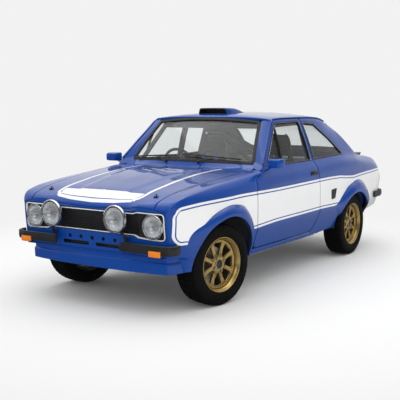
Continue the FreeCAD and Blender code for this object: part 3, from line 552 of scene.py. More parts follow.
# The white bar across the bonnet and the lines that run back from its ends
BAR_FRONT = ((0, -566), (200, -561), (340, -545), (420, -528))
BAR_REAR = -455.0
BAR_HALF = ((-640, 352), (-555, 360), (-452, 370), (371, 376), (700, 378))
BAR_CORNER, LINES_END, BONNET_WHITE = 40.0, 525.0, 27.0

# Edge of each wheel arch extension on the body, as (station, z)
ARCH = {"front": (0.0, 302.0, 360.0), "rear": (2400.0, 295.0, 332.0)}
FLARE_ROOT = {
    "front": ((-425, 312), (-452, 380), (-462, 470), (-439, 554), (-259, 648), (-93, 717), (107, 738),
              (239, 707), (337, 614), (380, 512), (396, 420), (402, 330), (402, 305)),
    "rear": ((1643, 306), (1648, 340), (1668, 420), (1723, 510), (1860, 530), (1987, 545), (2090, 600),
             (2177, 651), (2347, 715), (2512, 739), (2655, 707), (2740, 641), (2790, 560), (2800, 460),
             (2785, 380)),
}


def polar(end, points):
    s0, z0, _ = ARCH[end]
    p = np.array(points, float)
    return np.degrees(np.arctan2(p[:, 1] - z0, p[:, 0] - s0)), np.hypot(p[:, 0] - s0, p[:, 1] - z0)


def root_reach(end, theta):
    a, r = polar(end, FLARE_ROOT[end])
    order = np.argsort(a)
    return curve_through(theta, columns(a[order], r[order]))[:, 0]


def on_flare(p):
    out = np.zeros(len(p), bool)
    for end in ARCH:
        a, r = polar(end, p[:, 1:])
        out |= r < root_reach(end, a)
    return out


def in_corner(a, b, radius):
    """Distance inside a region with two sides that meet in a round corner."""
    return radius - np.hypot(np.maximum(radius - a, 0), np.maximum(radius - b, 0))


def band_paint(p):
    """0 blue, 1 white, for points (x, station, z) on the side."""
    s, z = p[:, 1], p[:, 2]
    top, low = curve_through(s, BAND_TOP)[:, 0] - z, z - curve_through(s, BAND_LOW)[:, 0]
    ahead = s - BAND_FRONT
    out = np.where(top < low, in_corner(top, ahead, BAND_CORNER), in_corner(low, ahead, BAND_CORNER))
    out = np.where(ahead > BAND_CORNER, np.minimum(top, low), out)
    white = (out > 0) | ((out < -LINE_BLUE) & (out > -LINE_BLUE - LINE_WHITE))
    return (white & (np.abs(p[:, 0]) > BAND_MIN_X) & ~on_flare(p)).astype(int)


def band_marks(surface, s0, s1):
    marks = []
    turn = BAND_FRONT + BAND_CORNER
    for gap in (0, LINE_BLUE, LINE_BLUE + LINE_WHITE):
        for table, sign in ((BAND_TOP, 1), (BAND_LOW, -1)):
            s = np.arange(max(s0, turn), s1 + 1, 12.0)
            marks.append(surface.girth_at(s, curve_through(s, table)[:, 0] + sign * gap, 2))
            if s0 < BAND_FRONT:
                middle = curve_through([turn], table)[0, 0] - sign * BAND_CORNER
                t = np.linspace(0, math.pi / 2, 14)
                r = BAND_CORNER + gap
                marks.append(surface.girth_at(turn - r * np.sin(t), middle + sign * r * np.cos(t), 2))
        if s0 < BAND_FRONT:
            ends = [curve_through([turn], table)[0, 0] - sign * BAND_CORNER
                    for table, sign in ((BAND_LOW, -1), (BAND_TOP, 1))]
            marks.append(side_line(surface, [(BAND_FRONT - gap, z) for z in ends]))
    for end, (station, z, _) in ARCH.items():
        theta = np.linspace(3, 176, 120)
        r = root_reach(end, theta)
        s, z = station + r * np.cos(np.radians(theta)), z + r * np.sin(np.radians(theta))
        keep = (s > s0) & (s < s1) & (z > 310)
        if keep.sum() > 3:
            first, last = np.flatnonzero(keep)[[0, -1]]
            marks.append(surface.girth_at(s[first:last + 1], z[first:last + 1], 2))
    return marks


BONNET_EDGE = ((-640, 566), (562, 637))


def bonnet_paint(p):
    x, s = np.abs(p[:, 0]), p[:, 1]
    ahead = s - np.interp(x, *np.array(BAR_FRONT).T)
    out = in_corner(ahead, curve_through(s, BAR_HALF)[:, 0] - x, BAR_CORNER)
    line = (out < -LINE_BLUE) & (out > -LINE_BLUE - BONNET_WHITE) & (s < LINES_END)
    return (((out > 0) & (s < BAR_REAR)) | line).astype(int)


def bonnet_marks():
    marks = [plan_line(LOWER, [(BAR_REAR, 0), (BAR_REAR, 369)])]
    half = curve_through([-500], BAR_HALF)[0, 0]
    lines_x = half - BAR_CORNER
    front = np.interp(lines_x, *np.array(BAR_FRONT).T)
    for gap in (0, LINE_BLUE, LINE_BLUE + BONNET_WHITE):
        s = np.arange(front + BAR_CORNER, LINES_END + 1, 15.0)
        s = s[s < BAR_REAR] if gap == 0 else s
        marks.append(LOWER.girth_at(s, curve_through(s, BAR_HALF)[:, 0] + gap, 0))
        t = np.linspace(0, math.pi / 2, 10)
        r = BAR_CORNER + gap
        marks.append(LOWER.girth_at(front + BAR_CORNER - r * np.cos(t), half - BAR_CORNER + r * np.sin(t), 0))
        x = np.arange(lines_x, -1, -9.0)
        marks.append(LOWER.girth_at(np.interp(x, *np.array(BAR_FRONT).T) - gap, x, 0))
    marks.append(plan_line(LOWER, [(LINES_END, 384), (LINES_END, 386 + BONNET_WHITE)]))
    return marks


# ---------------------------------------------------------------- materials
def add_node(tree, kind, inputs=None, **settings):
    """New shader node; an input is a number, a colour or another node's socket to link."""
    out = tree.nodes.new("ShaderNode" + kind)
    for name, value in settings.items():
        setattr(out, name, value)
    for name, value in (inputs or {}).items():
        if isinstance(value, bpy.types.NodeSocket):
            tree.links.new(value, out.inputs[name])
        else:
            out.inputs[name].default_value = value
    return out


def set_inputs(shader, inputs):
    for name, value in inputs.items():
        shader.inputs[name].default_value = value


def new_material(name, colour):
    out = bpy.data.materials.new(name)
    out.use_nodes = True
    out.diffuse_color = colour
    return out, out.node_tree


def object_coords(tree):
    return add_node(tree, "TexCoord").outputs["Object"]


def ramp(tree, value, low, high, out_low, out_high):
    return add_node(tree, "MapRange", {"Value": value, "From Min": low, "From Max": high, "To Min": out_low,
                                       "To Max": out_high}).outputs["Result"]


def math_node(tree, operation, a, b):
    return add_node(tree, "Math", {0: a, 1: b}, operation=operation).outputs["Value"]


def colour_mix(tree, share, a, b):
    return add_node(tree, "Mix", {"Factor": share, "A": a, "B": b}, data_type="RGBA").outputs["Result"]


def shader_mix(tree, share, a, b):
    return add_node(tree, "MixShader", {"Fac": share, 1: a, 2: b}).outputs["Shader"]


def noise(tree, scale, detail=3.0, stretch=(1, 1, 1)):
    at = add_node(tree, "Mapping", {"Vector": object_coords(tree), "Scale": stretch}).outputs["Vector"]
    return add_node(tree, "TexNoise", {"Vector": at, "Scale": scale, "Detail": detail}).outputs["Fac"]


def weave(tree, pitch):
    """Height of a plain weave with this pitch in metres: warp and weft that cross over and under."""
    coords = object_coords(tree)
    waves = [add_node(tree, "TexWave", {"Vector": coords, "Scale": 0.314 / pitch, "Distortion": 0.4},
                      wave_type="BANDS", bands_direction=axis).outputs["Fac"] for axis in ("X", "Z")]
    return math_node(tree, "MULTIPLY", *waves)


def relief(tree, height, strength, depth, shader):
    bump = add_node(tree, "Bump", {"Strength": strength, "Distance": depth, "Height": height})
    tree.links.new(bump.outputs["Normal"], shader.inputs["Normal"])


DUST = (0.32, 0.29, 0.25, 1)


def material(name, colour, rough, metal=0.0, coat=0.0, vary=0.12, vary_scale=6.0, bump=0.05, bump_scale=90.0,
             rough_vary=0.08, depth=0.001, stretch=(1, 1, 1), cloth=0.0, dust=0.0, specular=0.5):
    """Finish with uneven tone, uneven roughness, a fine relief and, where asked, dust on what is low."""
    out, tree = new_material(name, (*colour, 1))
    shader = tree.nodes["Principled BSDF"]
    set_inputs(shader, {"Metallic": metal, "Coat Weight": coat, "Coat Roughness": 0.03,
                        "Specular IOR Level": specular})
    dark, light = [(*[min(1, c * share) for c in colour], 1) for share in (1 - vary, 1 + vary)]
    tone = colour_mix(tree, ramp(tree, noise(tree, vary_scale, 4.0, stretch), 0.3, 0.7, 0, 1), dark, light)
    if dust:
        height = add_node(tree, "SeparateXYZ", {"Vector": object_coords(tree)}).outputs["Z"]
        cover = math_node(tree, "MULTIPLY", ramp(tree, height, 0.5, 0.28, 0, dust),
                          ramp(tree, noise(tree, 14.0, 6.0), 0.42, 0.66, 0.15, 1))
        tone = colour_mix(tree, cover, tone, DUST)
    tree.links.new(tone, shader.inputs["Base Color"])
    spread = noise(tree, vary_scale * 2.3, 5.0, stretch)
    tree.links.new(ramp(tree, spread, 0.25, 0.75, max(0.0, rough - rough_vary), min(1.0, rough + rough_vary)),
                   shader.inputs["Roughness"])
    if cloth:
        set_inputs(shader, {"Sheen Weight": 0.35, "Sheen Roughness": 0.4})
    if bump:
        height = weave(tree, cloth) if cloth else noise(tree, bump_scale, 2.0, stretch)
        relief(tree, height, bump, depth, shader)
    return out


def glass(name, tint, gloss, ripple=0.0):
    """Clear sheet glass or a lens: light goes straight through, and it mirrors more at a glancing angle."""
    out, tree = new_material(name, (*tint, 0.35))
    tree.nodes.remove(tree.nodes["Principled BSDF"])
    clear = add_node(tree, "BsdfTransparent", {"Color": (*tint, 1)})
    shine = add_node(tree, "BsdfGlossy", {"Roughness": 0.02})
    edge = add_node(tree, "LayerWeight", {"Blend": 0.5}).outputs["Facing"]
    share = ramp(tree, math_node(tree, "POWER", edge, 5.0), 0, 1, gloss, 0.9)
    surface = shader_mix(tree, share, clear.outputs["BSDF"], shine.outputs["BSDF"])
    relief(tree, noise(tree, 55.0 if ripple else 2.0, 1.0), 0.015 + ripple, 0.001, shine)
    tree.links.new(surface, tree.nodes["Material Output"].inputs["Surface"])
    return out


PAINT = dict(vary_scale=3.0, bump=0.02, bump_scale=260.0, rough_vary=0.04)
FLUTED = dict(coat=0.6, vary_scale=30.0, bump=0.8, bump_scale=260.0, stretch=(1, 1, 0.1))
BLUE = material("paint_blue", (0.001, 0.052, 0.300), 0.36, coat=0.9, vary=0.05, specular=0.12, **PAINT)
WHITE = material("paint_white", (0.87, 0.872, 0.878), 0.34, coat=0.8, vary=0.02, specular=0.3, **PAINT)
BLACK = material("satin_black", (0.018, 0.018, 0.020), 0.42, vary=0.2, bump=0.25, bump_scale=700.0,
                 depth=0.0004)
RUBBER = material("seal_rubber", (0.014, 0.014, 0.015), 0.55, vary=0.25, bump=0.3, bump_scale=400.0)
TYRE = material("tyre_rubber", (0.0040, 0.0040, 0.0044), 0.62, vary=0.3, vary_scale=14.0, bump=0.35,
                bump_scale=320.0, specular=0.14)
GOLD = material("rim_gold", (0.60, 0.43, 0.165), 0.24, metal=0.92, vary=0.10, vary_scale=12.0, bump=0.06,
                bump_scale=300.0, depth=0.0004)
CAST = material("cast_metal", (0.30, 0.30, 0.31), 0.55, metal=0.8, vary=0.2, vary_scale=20.0, bump=0.6,
                bump_scale=300.0)
CHROME = material("chrome", (0.78, 0.79, 0.80), 0.09, metal=1.0, vary=0.03, bump=0.02, bump_scale=60.0,
                  rough_vary=0.05)
STEEL = material("brushed_steel", (0.48, 0.46, 0.44), 0.34, metal=1.0, vary=0.15, bump=0.3, bump_scale=300.0,
                 stretch=(1, 0.05, 1))
CHASSIS = material("chassis_black", (0.022, 0.022, 0.024), 0.5, vary=0.35, vary_scale=10.0, bump=0.4,
                   bump_scale=160.0, dust=0.12, specular=0.3)
PRIMER = material("inner_primer", (0.032, 0.034, 0.038), 0.6, vary=0.25, vary_scale=8.0, bump=0.3,
                  bump_scale=120.0, dust=0.1, specular=0.3)
INNER = material("inner_trim", (0.05, 0.053, 0.06), 0.75, vary=0.25, bump=0.5, bump_scale=500.0)
CAGE = material("cage_paint", (0.045, 0.050, 0.058), 0.4, vary=0.15, bump=0.15, bump_scale=300.0)
SEAT = material("seat_cloth", (0.020, 0.021, 0.024), 0.85, vary=0.3, vary_scale=12.0, bump=0.6, cloth=0.0035)
SEAT_SIDE = material("seat_side_cloth", (0.032, 0.034, 0.038), 0.8, vary=0.2, vary_scale=12.0, bump=0.5,
                     cloth=0.002)
BELT = material("belt_webbing", (0.02, 0.11, 0.42), 0.7, vary=0.15, bump=0.7, cloth=0.0024)
SUEDE = material("wheel_suede", (0.03, 0.03, 0.032), 0.9, vary=0.35, vary_scale=30.0, bump=0.6,
                 bump_scale=900.0)
DASH = material("dash_flock", (0.025, 0.025, 0.027), 0.95, vary=0.3, vary_scale=25.0, bump=0.8,
                bump_scale=1100.0)
CORE = material("radiator_core", (0.10, 0.10, 0.105), 0.45, metal=0.6, vary=0.2, bump=1.0, bump_scale=240.0,
                stretch=(0.15, 1, 1))
BRICK = material("engine_casting", (0.22, 0.22, 0.23), 0.6, metal=0.6, vary=0.3, vary_scale=9.0, bump=0.8)
AMBER = material("amber_lens", (0.80, 0.22, 0.02), 0.12, vary=0.08, **FLUTED)
RED = material("red_lens", (0.50, 0.012, 0.012), 0.12, vary=0.1, **FLUTED)
GREY = material("spoiler_grey", (0.055, 0.06, 0.07), 0.42, vary=0.15, bump=0.2, bump_scale=500.0)
LINING = material("inner_lining", (0.20, 0.21, 0.225), 0.6, vary=0.2, vary_scale=8.0, bump=0.3,
                  bump_scale=200.0, specular=0.25)
REFLECTOR = material("lamp_reflector", (0.95, 0.955, 0.96), 0.15, metal=0.60, vary=0.04, bump=0.5,
                     bump_scale=60.0, rough_vary=0.06, stretch=(1, 0.02, 0.02))
MIRROR = material("mirror_glass", (0.80, 0.82, 0.84), 0.03, metal=1.0, vary=0.02, bump=0.0, rough_vary=0.02)
GLASS = glass("clear_glass", (0.965, 0.98, 0.98), 0.06)
LENS = glass("lamp_glass", (0.95, 0.96, 0.97), 0.10, ripple=0.12)


# ---------------------------------------------------------------- CAD nodes that stay, with their finish
KEPT = {BRICK: ("engine",), CAST: ("driveline",), CORE: ("radiator",), STEEL: ("exhaust",),
        CHASSIS: ("rear_axle", "rear_springs", "crossmember", "knuckle_left", "knuckle_right"),
        PRIMER: ("inner_wings", "wheelhouses"), LINING: ("floorpan",), CAGE: ("roll_cage",), GREY: ("spoiler",),
        DASH: ("dashboard",), SUEDE: ("steering_wheel",)}
for finish, names in KEPT.items():
    for name in names:
        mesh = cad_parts[name].data
        count = len(mesh.materials)
        mesh.materials.clear()
        for _ in range(max(1, count)):
            mesh.materials.append(finish)


# ---------------------------------------------------------------- body panels
SKIN = (BLUE, WHITE, BLACK, LINING)
DOOR_FRONT = 446.0
BOOT_FRONT, TAIL = 2748.0, 3270.0
SHUT, WIDE_SHUT, WALL = 6.0, 9.0, 12.0    # shut gaps and the panels' thickness
WING_END, DAM_TOP = DOOR_FRONT - WIDE_SHUT, 424
HALF_TOP = GIRTH[-1] - CREST


def clean(loop, gap=2.0):
    out = [loop[0]]
    for p in loop[1:]:
        if np.linalg.norm(p - out[-1]) > gap:
            out.append(p)
    if np.linalg.norm(out[0] - out[-1]) < gap:
        out.pop()
    return np.array(out)


def mirrored_pair(name, shape, materials, body="root", nodes=(), shared=(), **more):
    """Left and right pieces; the body and the names in nodes take _left and _right, those in shared don't."""
    for s, side in ((shape, "_left"), (shape.mirror(), "_right")):
        on = body + side if body != "root" else body
        s.make(name + side, materials, body=on, nodes=[n + side for n in nodes] + list(shared), **more)


def across_at(u, *span):
    """Line at one u, over np.arange(*span) of the girth or of the way across."""
    return np.array([(u, g) for g in np.arange(*span)])


def quad_loop(corners, radius, step=14.0):
    """Outline with rounded corners, in even steps."""
    return clean(resample(rounded(corners, radius), step, closed=True))


def side_opening(corners, radius, step):
    """Rounded opening given in side view, on the upper body."""
    return UPPER.girth_at(*quad_loop(corners, radius, step).T, 2)


def over_top(surface, start, width):
    """The surface from one side over the middle to the other, as (u, way across)."""
    def points(ub):
        ub = np.asarray(ub, float)
        far = ub[:, 1] > width
        out = surface(columns(ub[:, 0], start + np.where(far, 2 * width - ub[:, 1], ub[:, 1])))
        out[far, 0] *= -1
        return out
    return points


def both_sides(line, start, width):
    """A line of (u, girth) on the left as (u, way across), and its twin on the right."""
    near = columns(line[:, 0], line[:, 1] - start)
    return near, columns(near[:, 0], 2 * width - near[:, 1])


def edge_x(edge, s):
    return np.interp(s, [p[0] for p in edge], [p[1] for p in edge])


def wheel_arch(end, first, last):
    """The panel's edge round a wheel, behind the lip of the arch extension, between two angles."""
    station, z, lip = ARCH[end]
    r = lip + 20
    return [(station + r * math.cos(a), z + r * math.sin(a)) for a in np.linspace(first, last, 60)]


# front wings
arch = wheel_arch("front", 0.006, math.pi - 0.35)
low_edge = side_line(LOWER, [(WING_END, 302)] + arch + [(-380, DAM_TOP), (-608, DAM_TOP)])
nose_seam = across_at(NOSE_U, 0, CREST + 1, 15)
front_top = LOWER.girth_at([-620], [BONNET_EDGE[0][1] + SHUT], 0)[0, 1]
nose_top = across_at(NOSE_U, CREST + 10, front_top, 10)
s_run = np.arange(-618, 566, 12.0)
top_edge = LOWER.girth_at(s_run, edge_x(BONNET_EDGE, s_run) + SHUT, 0)
back_edge = side_line(LOWER, [(588, 946), (566, 926), (WING_END, 908), (WING_END, 302)])
rear_corner = plan_line(LOWER, [(566, 642.5), (640, 620), (654, 704), (594, 708)])
wing_loop = clean(np.vstack([low_edge, nose_seam, nose_top, top_edge, rear_corner, back_edge]))
wing = panel(LOWER, wing_loop, marks=band_marks(LOWER, -640, 430), paint=band_paint, thick=WALL,
             seams=[nose_seam])


# ---------------------------------------------------------------- wheel arch extensions
# x of the lip at angles round the wheel, as (degrees, x)
FLARE_LIP_X = {
    "front": ((178, 702), (167, 716), (149, 748), (128, 778), (104, 813), (61, 827), (38, 815), (18, 788),
              (5, 757)),
    "rear": ((178, 699), (172, 700), (151, 783), (124, 820), (97, 835), (83, 835), (38, 832), (17, 767),
             (12, 750)),
}


LIP_MIN_X = 690
LIP_SECTION = ((-1.5, 1), (-6, 0), (-26, 1), (-26, 9), (-12, 12))     # from the lip's edge, (x, radius)
SKIN_LOW = 306
DAM_END = ((-543, -365), (637, 684))     # stations and x of the air dam's end


def skin_x(stations, z):
    """x of the outer skin at the side, and of the air dam's end low down in front."""
    x = LOWER(LOWER.girth_at(stations, np.maximum(z, SKIN_LOW), 2))[:, 0]
    dam = (z < DAM_TOP) & (stations < 0)
    x[dam] = np.interp(stations[dam], *DAM_END)
    return x


def flare(end):
    """Blistered wheel arch extension."""
    s0, z0, lip = ARCH[end]
    theta, _ = polar(end, FLARE_ROOT[end])
    t = np.linspace(theta.max(), max(theta.min(), 1.5), 90)
    r_root = root_reach(end, t)
    table = np.array(sorted(FLARE_LIP_X[end]), float)
    x_lip = curve_through(t, table)[:, 0]
    a = np.radians(t)
    s_root, z_root = s0 + r_root * np.cos(a), z0 + r_root * np.sin(a)
    x_body = skin_x(s_root, z_root)
    rings = []
    for k in range(len(t)):
        ca, sa = math.cos(a[k]), math.sin(a[k])
        root = np.array([x_body[k] - 4, r_root[k] + 2])
        x1, rise = max(x_lip[k], LIP_MIN_X), r_root[k] - lip
        # a cubic curve from the body out to the lip
        c0, c3 = root + [4, -2], np.array([x1, lip + 5])
        c1 = c0 + np.array([0.12 * max(x1 - root[0], 12.0), -0.10 * rise])
        c2 = np.array([x1 + 1, lip + 0.80 * rise])
        curve = [root] + [(1 - q)**3 * c0 + 3 * (1 - q)**2 * q * c1 + 3 * (1 - q) * q**2 * c2 + q**3 * c3
                          for q in np.linspace(0, 1, 10)]
        curve += [np.array([x1 + dx, lip + dr]) for dx, dr in LIP_SECTION]
        back = [np.array([min(p[0], x1) - 10, p[1] - 2]) for p in curve[3:10][::-1]]
        curve += [p if p[1] > lip + 9 else np.array([p[0], lip + 12]) for p in back] + [root - [14, 0]]
        rings.append([(x, s0 + r * ca, z0 + r * sa) for x, r in curve])
    shape, m = loft(rings), len(rings[0])
    for i, face in enumerate(shape.faces):
        if len(face) == 4 and 12 <= i % m < m - 1:
            shape.index[i] = 2
    return shape


wing_flare = flare("front")
rear_flare = flare("rear")
wing.join(wing_flare)
mirrored_pair("front_wing_panel", wing, SKIN, nodes=["front_wing"], slot="body_paint")


# ---------------------------------------------------------------- front wheelhouses
LINER_R, LINER_X, LINER_T = 412, 389, 5    # radius round the wheel, x of the inner wing, thickness
TOWER_Z = (828, 764, 700)


def wheelhouse(run, foot):
    """Sheet round the turned wheel, from the inner wing to the outer panel, and up to the strut's top."""
    def section(x1):
        return (LINER_X, LINER_T), (x1, LINER_T), (x1, 0), (LINER_X, 0)
    a = np.radians(run)
    path = columns(LINER_R * np.cos(a), ARCH["front"][1] + LINER_R * np.sin(a))
    rings = [[(x, s + t * math.cos(b), z + t * math.sin(b)) for x, t in section(x1 - 22)]
             for (s, z), b, x1 in zip(path, a, skin_x(*path.T))]
    skin = LOWER(LOWER.girth_at([foot] * 3, TOWER_Z, 2))[:, 0] - 24
    wall = [[(x, foot + t, z) for x, t in section(x1)] for x1, z in zip(skin, TOWER_Z)]
    return loft(rings).join(loft(wall))


liner = wheelhouse(np.linspace(178, 101, 40), -83).join(wheelhouse(np.linspace(76, 2, 40), 98))
mirrored_pair("front_wheelhouse", liner, [PRIMER])


# ---------------------------------------------------------------- bonnet, scuttle and nose
TOP = over_top(LOWER, CREST, HALF_TOP)


def lid_crease(p):
    """Raised middle of the bonnet with a soft step along each side of it."""
    x, s = np.abs(p[:, 0]), p[:, 1]
    edge = np.interp(s, [-640, 560], [205, 330])
    fade = np.clip((s + 600) / 160, 0, 1) * np.clip((575 - s) / 120, 0, 1)
    step = 1 / (1 + np.exp((x - edge) / 5.0))
    return fade * (6.5 * step + 3.6 * np.exp(-(x / 7.0)**2))


def bonnet_surface(ub):
    p = TOP(ub)
    p[:, 2] += lid_crease(p)
    return p


s_run = np.arange(-620, 561, 12.0)
left, right = both_sides(LOWER.girth_at(s_run, edge_x(BONNET_EDGE, s_run), 0), CREST, HALF_TOP)
bonnet_loop = clean(np.vstack([left, across_at(560.0, left[-1, 1], right[-1, 1], 12.0), right[::-1],
                               across_at(NOSE_U, left[0, 1], right[0, 1], 12.0)[::-1]]))
marks = [line for mark in bonnet_marks() for line in both_sides(mark, CREST, HALF_TOP)]
bonnet = panel(bonnet_surface, bonnet_loop, marks=marks, paint=bonnet_paint, thick=14.0, step=20.0)
bonnet.make("bonnet_panel", SKIN, body="bonnet", nodes=["bonnet"], slot="body_paint")


NOSE_FACE, TAIL_FACE = -621, 3266          # stations of the front and rear faces


def nose_surface(xz):
    x, z = xz[:, 0], xz[:, 1]
    return columns(x, NOSE_FACE + nose_lean(x, z), z)


def nose_half_width(z):
    return np.interp(z, [425, 500, 620, 700, 745], [640, 652, 656, 656, 664])


top_points = LOWER(across_at(NOSE_U, CREST, GIRTH[-1] + 1, 12.0))
nose_top_z = columns(top_points[:, 0], top_points[:, 2] - 4)
side_z = np.arange(426, 742, 12.0)
half_edge = columns(nose_half_width(side_z), side_z)
half_loop = np.vstack([half_edge, nose_top_z])
nose_foot = [(x, 426.0) for x in np.arange(-625, 630, 14.0)]
nose_loop = clean(np.vstack([half_loop, half_loop[::-1] * [-1, 1], nose_foot]))
GRILLE_HALF = ((392, 571), (428, 553), (560, 547), (648, 547), (648, 737), (425, 738), (388, 728))
GRILLE_CORNERS = [12, 12, 20, 32, 32, 12, 12]
grille_hole = quad_loop(list(GRILLE_HALF) + [(-x, z) for x, z in reversed(GRILLE_HALF)],
                        GRILLE_CORNERS + GRILLE_CORNERS[::-1], 12)
valance_holes = [oval((x, 517), 15, 15, 24) for x in (-212, -106, 0, 106, 212)]
for side in (1, -1):
    slot = [(side * 32, 460), (side * 280, 460), (side * 280, 486), (side * 32, 486)]
    valance_holes.append(quad_loop(slot, 7, 10))
seams = [half_edge, half_edge * [-1, 1]]
nose = panel(nose_surface, nose_loop, holes=[grille_hole] + valance_holes, thick=6.0, radius=3.0, step=18.0,
             seams=seams)
nose.make("nose_panel", SKIN, nodes=["front_panel"], slot="body_paint")


# ---------------------------------------------------------------- air dam
dam_half = [(-365, 686), (-470, 664), (-532, 646), (-556, 628), (-572, 560), (-600, 330), (-609, 0)]
dam_line = resample(dam_half + [(s, -x) for s, x in dam_half[-2::-1]], 12)
dam_way = np.concatenate([[0], np.cumsum(np.linalg.norm(np.diff(dam_line, axis=0), axis=1))])


def dam_surface(az):
    s, x = (np.interp(dam_way[-1] - az[:, 0], dam_way, dam_line[:, k]) for k in (0, 1))
    front = np.clip((-500 - s) / 60, 0, 1)
    groove = 9 * np.clip((az[:, 1] - 379) / 9, 0, 1)
    return columns(x * (1 - groove / 700), s + ((430 - az[:, 1]) * 0.06 + groove) * front, az[:, 1])


end = dam_way[-1]
dam_loop = [(0, 306), (end, 306), (end, 424), (0, 424)]
air_dam = panel(dam_surface, clean(resample(dam_loop, 9, closed=True)), thick=10.0, radius=5.0, step=9.0)
shelf = bar([(640, -606), (664, -470), (-664, -470), (-640, -606)], 424, 431, 2.0, "xy")
air_dam.join(shelf)
air_dam.make("air_dam_panel", SKIN, nodes=["air_dam"], slot="body_paint")


# ---------------------------------------------------------------- trim that follows an edge
def sunk(surface, depth):
    """The same surface further in."""
    def points(uv):
        uv = np.asarray(uv, float)
        return surface(uv) - depth * normals(surface, uv)
    return points


def trim(surface, line, profile, closed=True):
    """Strip along a line on a surface, with a closed profile of (to the left, outwards)."""
    line = np.array(line, float)
    p, n = surface(line), normals(surface, line)
    b = np.cross(n, directions(p, closed))
    rings = np.array([[p[i] + b[i] * a + n[i] * o for a, o in profile] for i in range(len(line))])
    if not closed:
        return loft(rings)
    return Shape().add(rings.reshape(-1, 3), grid_faces(len(rings), len(profile), True, True))


def seal_profile(width, height, sink=8.0):
    w = width / 2
    return [(-w, -sink), (w, -sink), (w, 0.3 * height), (0.6 * w, 0.85 * height), (0, height),
            (-0.6 * w, 0.85 * height), (-w, 0.3 * height)]


def bead(at, width, low, high):
    w, middle = width / 2, (low + high) / 2
    return [(at - w, low), (at + w, low), (at + w, middle), (at + 0.4 * w, high), (at - 0.4 * w, high),
            (at - w, middle)]


def window(name, surface, loop, node, sink=7.0, seal=16.0, bright=True, body="root", twin=None):
    """Pane, rubber seal and bright bead in one opening; loop is the opening's edge. The right side's
    twins are pieces of their own (twin "pair") or part of the same meshes (twin "joined")."""
    loop = ccw(loop)
    pane = panel(sunk(surface, sink), offset(loop, -3), thick=5.0, radius=1.0, step=40.0)
    rubber = trim(surface, offset(loop, 0.20 * seal), seal_profile(seal, 3.5, sink + 6))
    parts = [("_glass", pane, GLASS, [node], "glass"), ("_seal", rubber, RUBBER, (), None)]
    if bright:
        line = trim(surface, offset(loop, 0.34 * seal), bead(0, 3.0, 2.0, 5.4))
        parts.append(("_bright", line, CHROME, (), None))
    for part, shape, finish, nodes, slot in parts:
        if twin == "pair":
            mirrored_pair(name + part, shape, [finish], body=body, nodes=nodes, slot=slot)
            continue
        if twin == "joined":
            shape.join(shape.mirror())
        shape.make(name + part, [finish], body=body, nodes=nodes, slot=slot)


# ---------------------------------------------------------------- windscreen, pillars and roof
SCREEN_W, SCREEN_H = 600.0, 490.0


def screen_surface(ab):
    ab = np.asarray(ab, float)
    x, v = ab[:, 0] / SCREEN_W, ab[:, 1] / SCREEN_H
    half = 635 - 107 * v
    return columns(x * half, 593 + 328 * v + x**2 * (72 - 28 * v) - 48 * v * (1 - v),
                     998 + 368 * v - x**2 * (8 + 21 * v))


screen_loop = quad_loop([(-588, 10), (588, 10), (584, 480), (-584, 480)], 42)
window("windscreen", screen_surface, screen_loop, "windscreen", seal=30.0, bright=False)

ROOF_START = RAIL - 6
ROOF_HALF = CROWN - ROOF_START
ROOF_TOP = over_top(UPPER, ROOF_START, ROOF_HALF)


def roof_cut(at_middle, curve, side_x, count=60):
    """Line across the roof whose station changes with x squared."""
    b = np.linspace(0, 2 * ROOF_HALF, count)
    x = ROOF_TOP(columns(np.full(count, at_middle), b))[:, 0]
    return columns(at_middle + curve * (x / side_x)**2, b)


front_cut, rear_cut = roof_cut(932, 44, 528), roof_cut(2138, -28, 560)
roof_loop = clean(np.vstack([front_cut, resample([front_cut[-1], rear_cut[-1]], 20), rear_cut[::-1],
                             resample([rear_cut[0], front_cut[0]], 20)]), 3.0)
roof = panel(ROOF_TOP, roof_loop, thick=18.0, radius=6.0, step=30.0)

door_front_line = [(612, 962), (660, 1010), (1000, 1334), (1012, 1346)]


def pillar(inner, outer, bulge, depth, n=7):
    """Outer skin from one line to another, with a closed inner side."""
    middle = np.array([0.0, 1300.0, 900.0])
    rings = []
    for a, b in zip(inner, outer):
        out = (a + b) / 2 - middle
        across = (b - a) / np.linalg.norm(b - a)
        out[1] *= 0.15
        out -= across * (out @ across)
        out /= np.linalg.norm(out)
        t = np.linspace(0, 1, n)[:, None]
        skin = a + (b - a) * t + out * bulge * (4 * t * (1 - t))
        rings.append(np.vstack([skin, [b - out * depth, a - out * depth]]))
    return rings


v = np.linspace(-0.03, 1.02, 26)
inner = screen_surface(columns(np.full(26, SCREEN_W * 0.985), v * SCREEN_H))
outer_line = resample(door_front_line, 4)
outer_line = outer_line[np.linspace(0, len(outer_line) - 1, 26).astype(int)]
outer = UPPER(UPPER.girth_at(outer_line[:, 0] - 7, outer_line[:, 1] + 4, 2))
a_pillar = loft([ring[::-1] for ring in pillar(inner, outer, 9, 26)])
roof.join(a_pillar, a_pillar.mirror())
rail_line = np.vstack([UPPER.girth_at(outer_line[2:, 0] - 12, outer_line[2:, 1] + 8, 2)[:-2],
                       [(u, RAIL - 3) for u in np.arange(1030, 2110, 20.0)]])
drip = trim(UPPER, rail_line, [(-3, -4), (5, -4), (5, 5), (2, 9), (-2, 9), (-3, 5)], closed=False)
roof.join(drip, drip.mirror())
roof.make("roof_panel", SKIN, nodes=["roof", "windscreen_frame"], slot="body_paint")


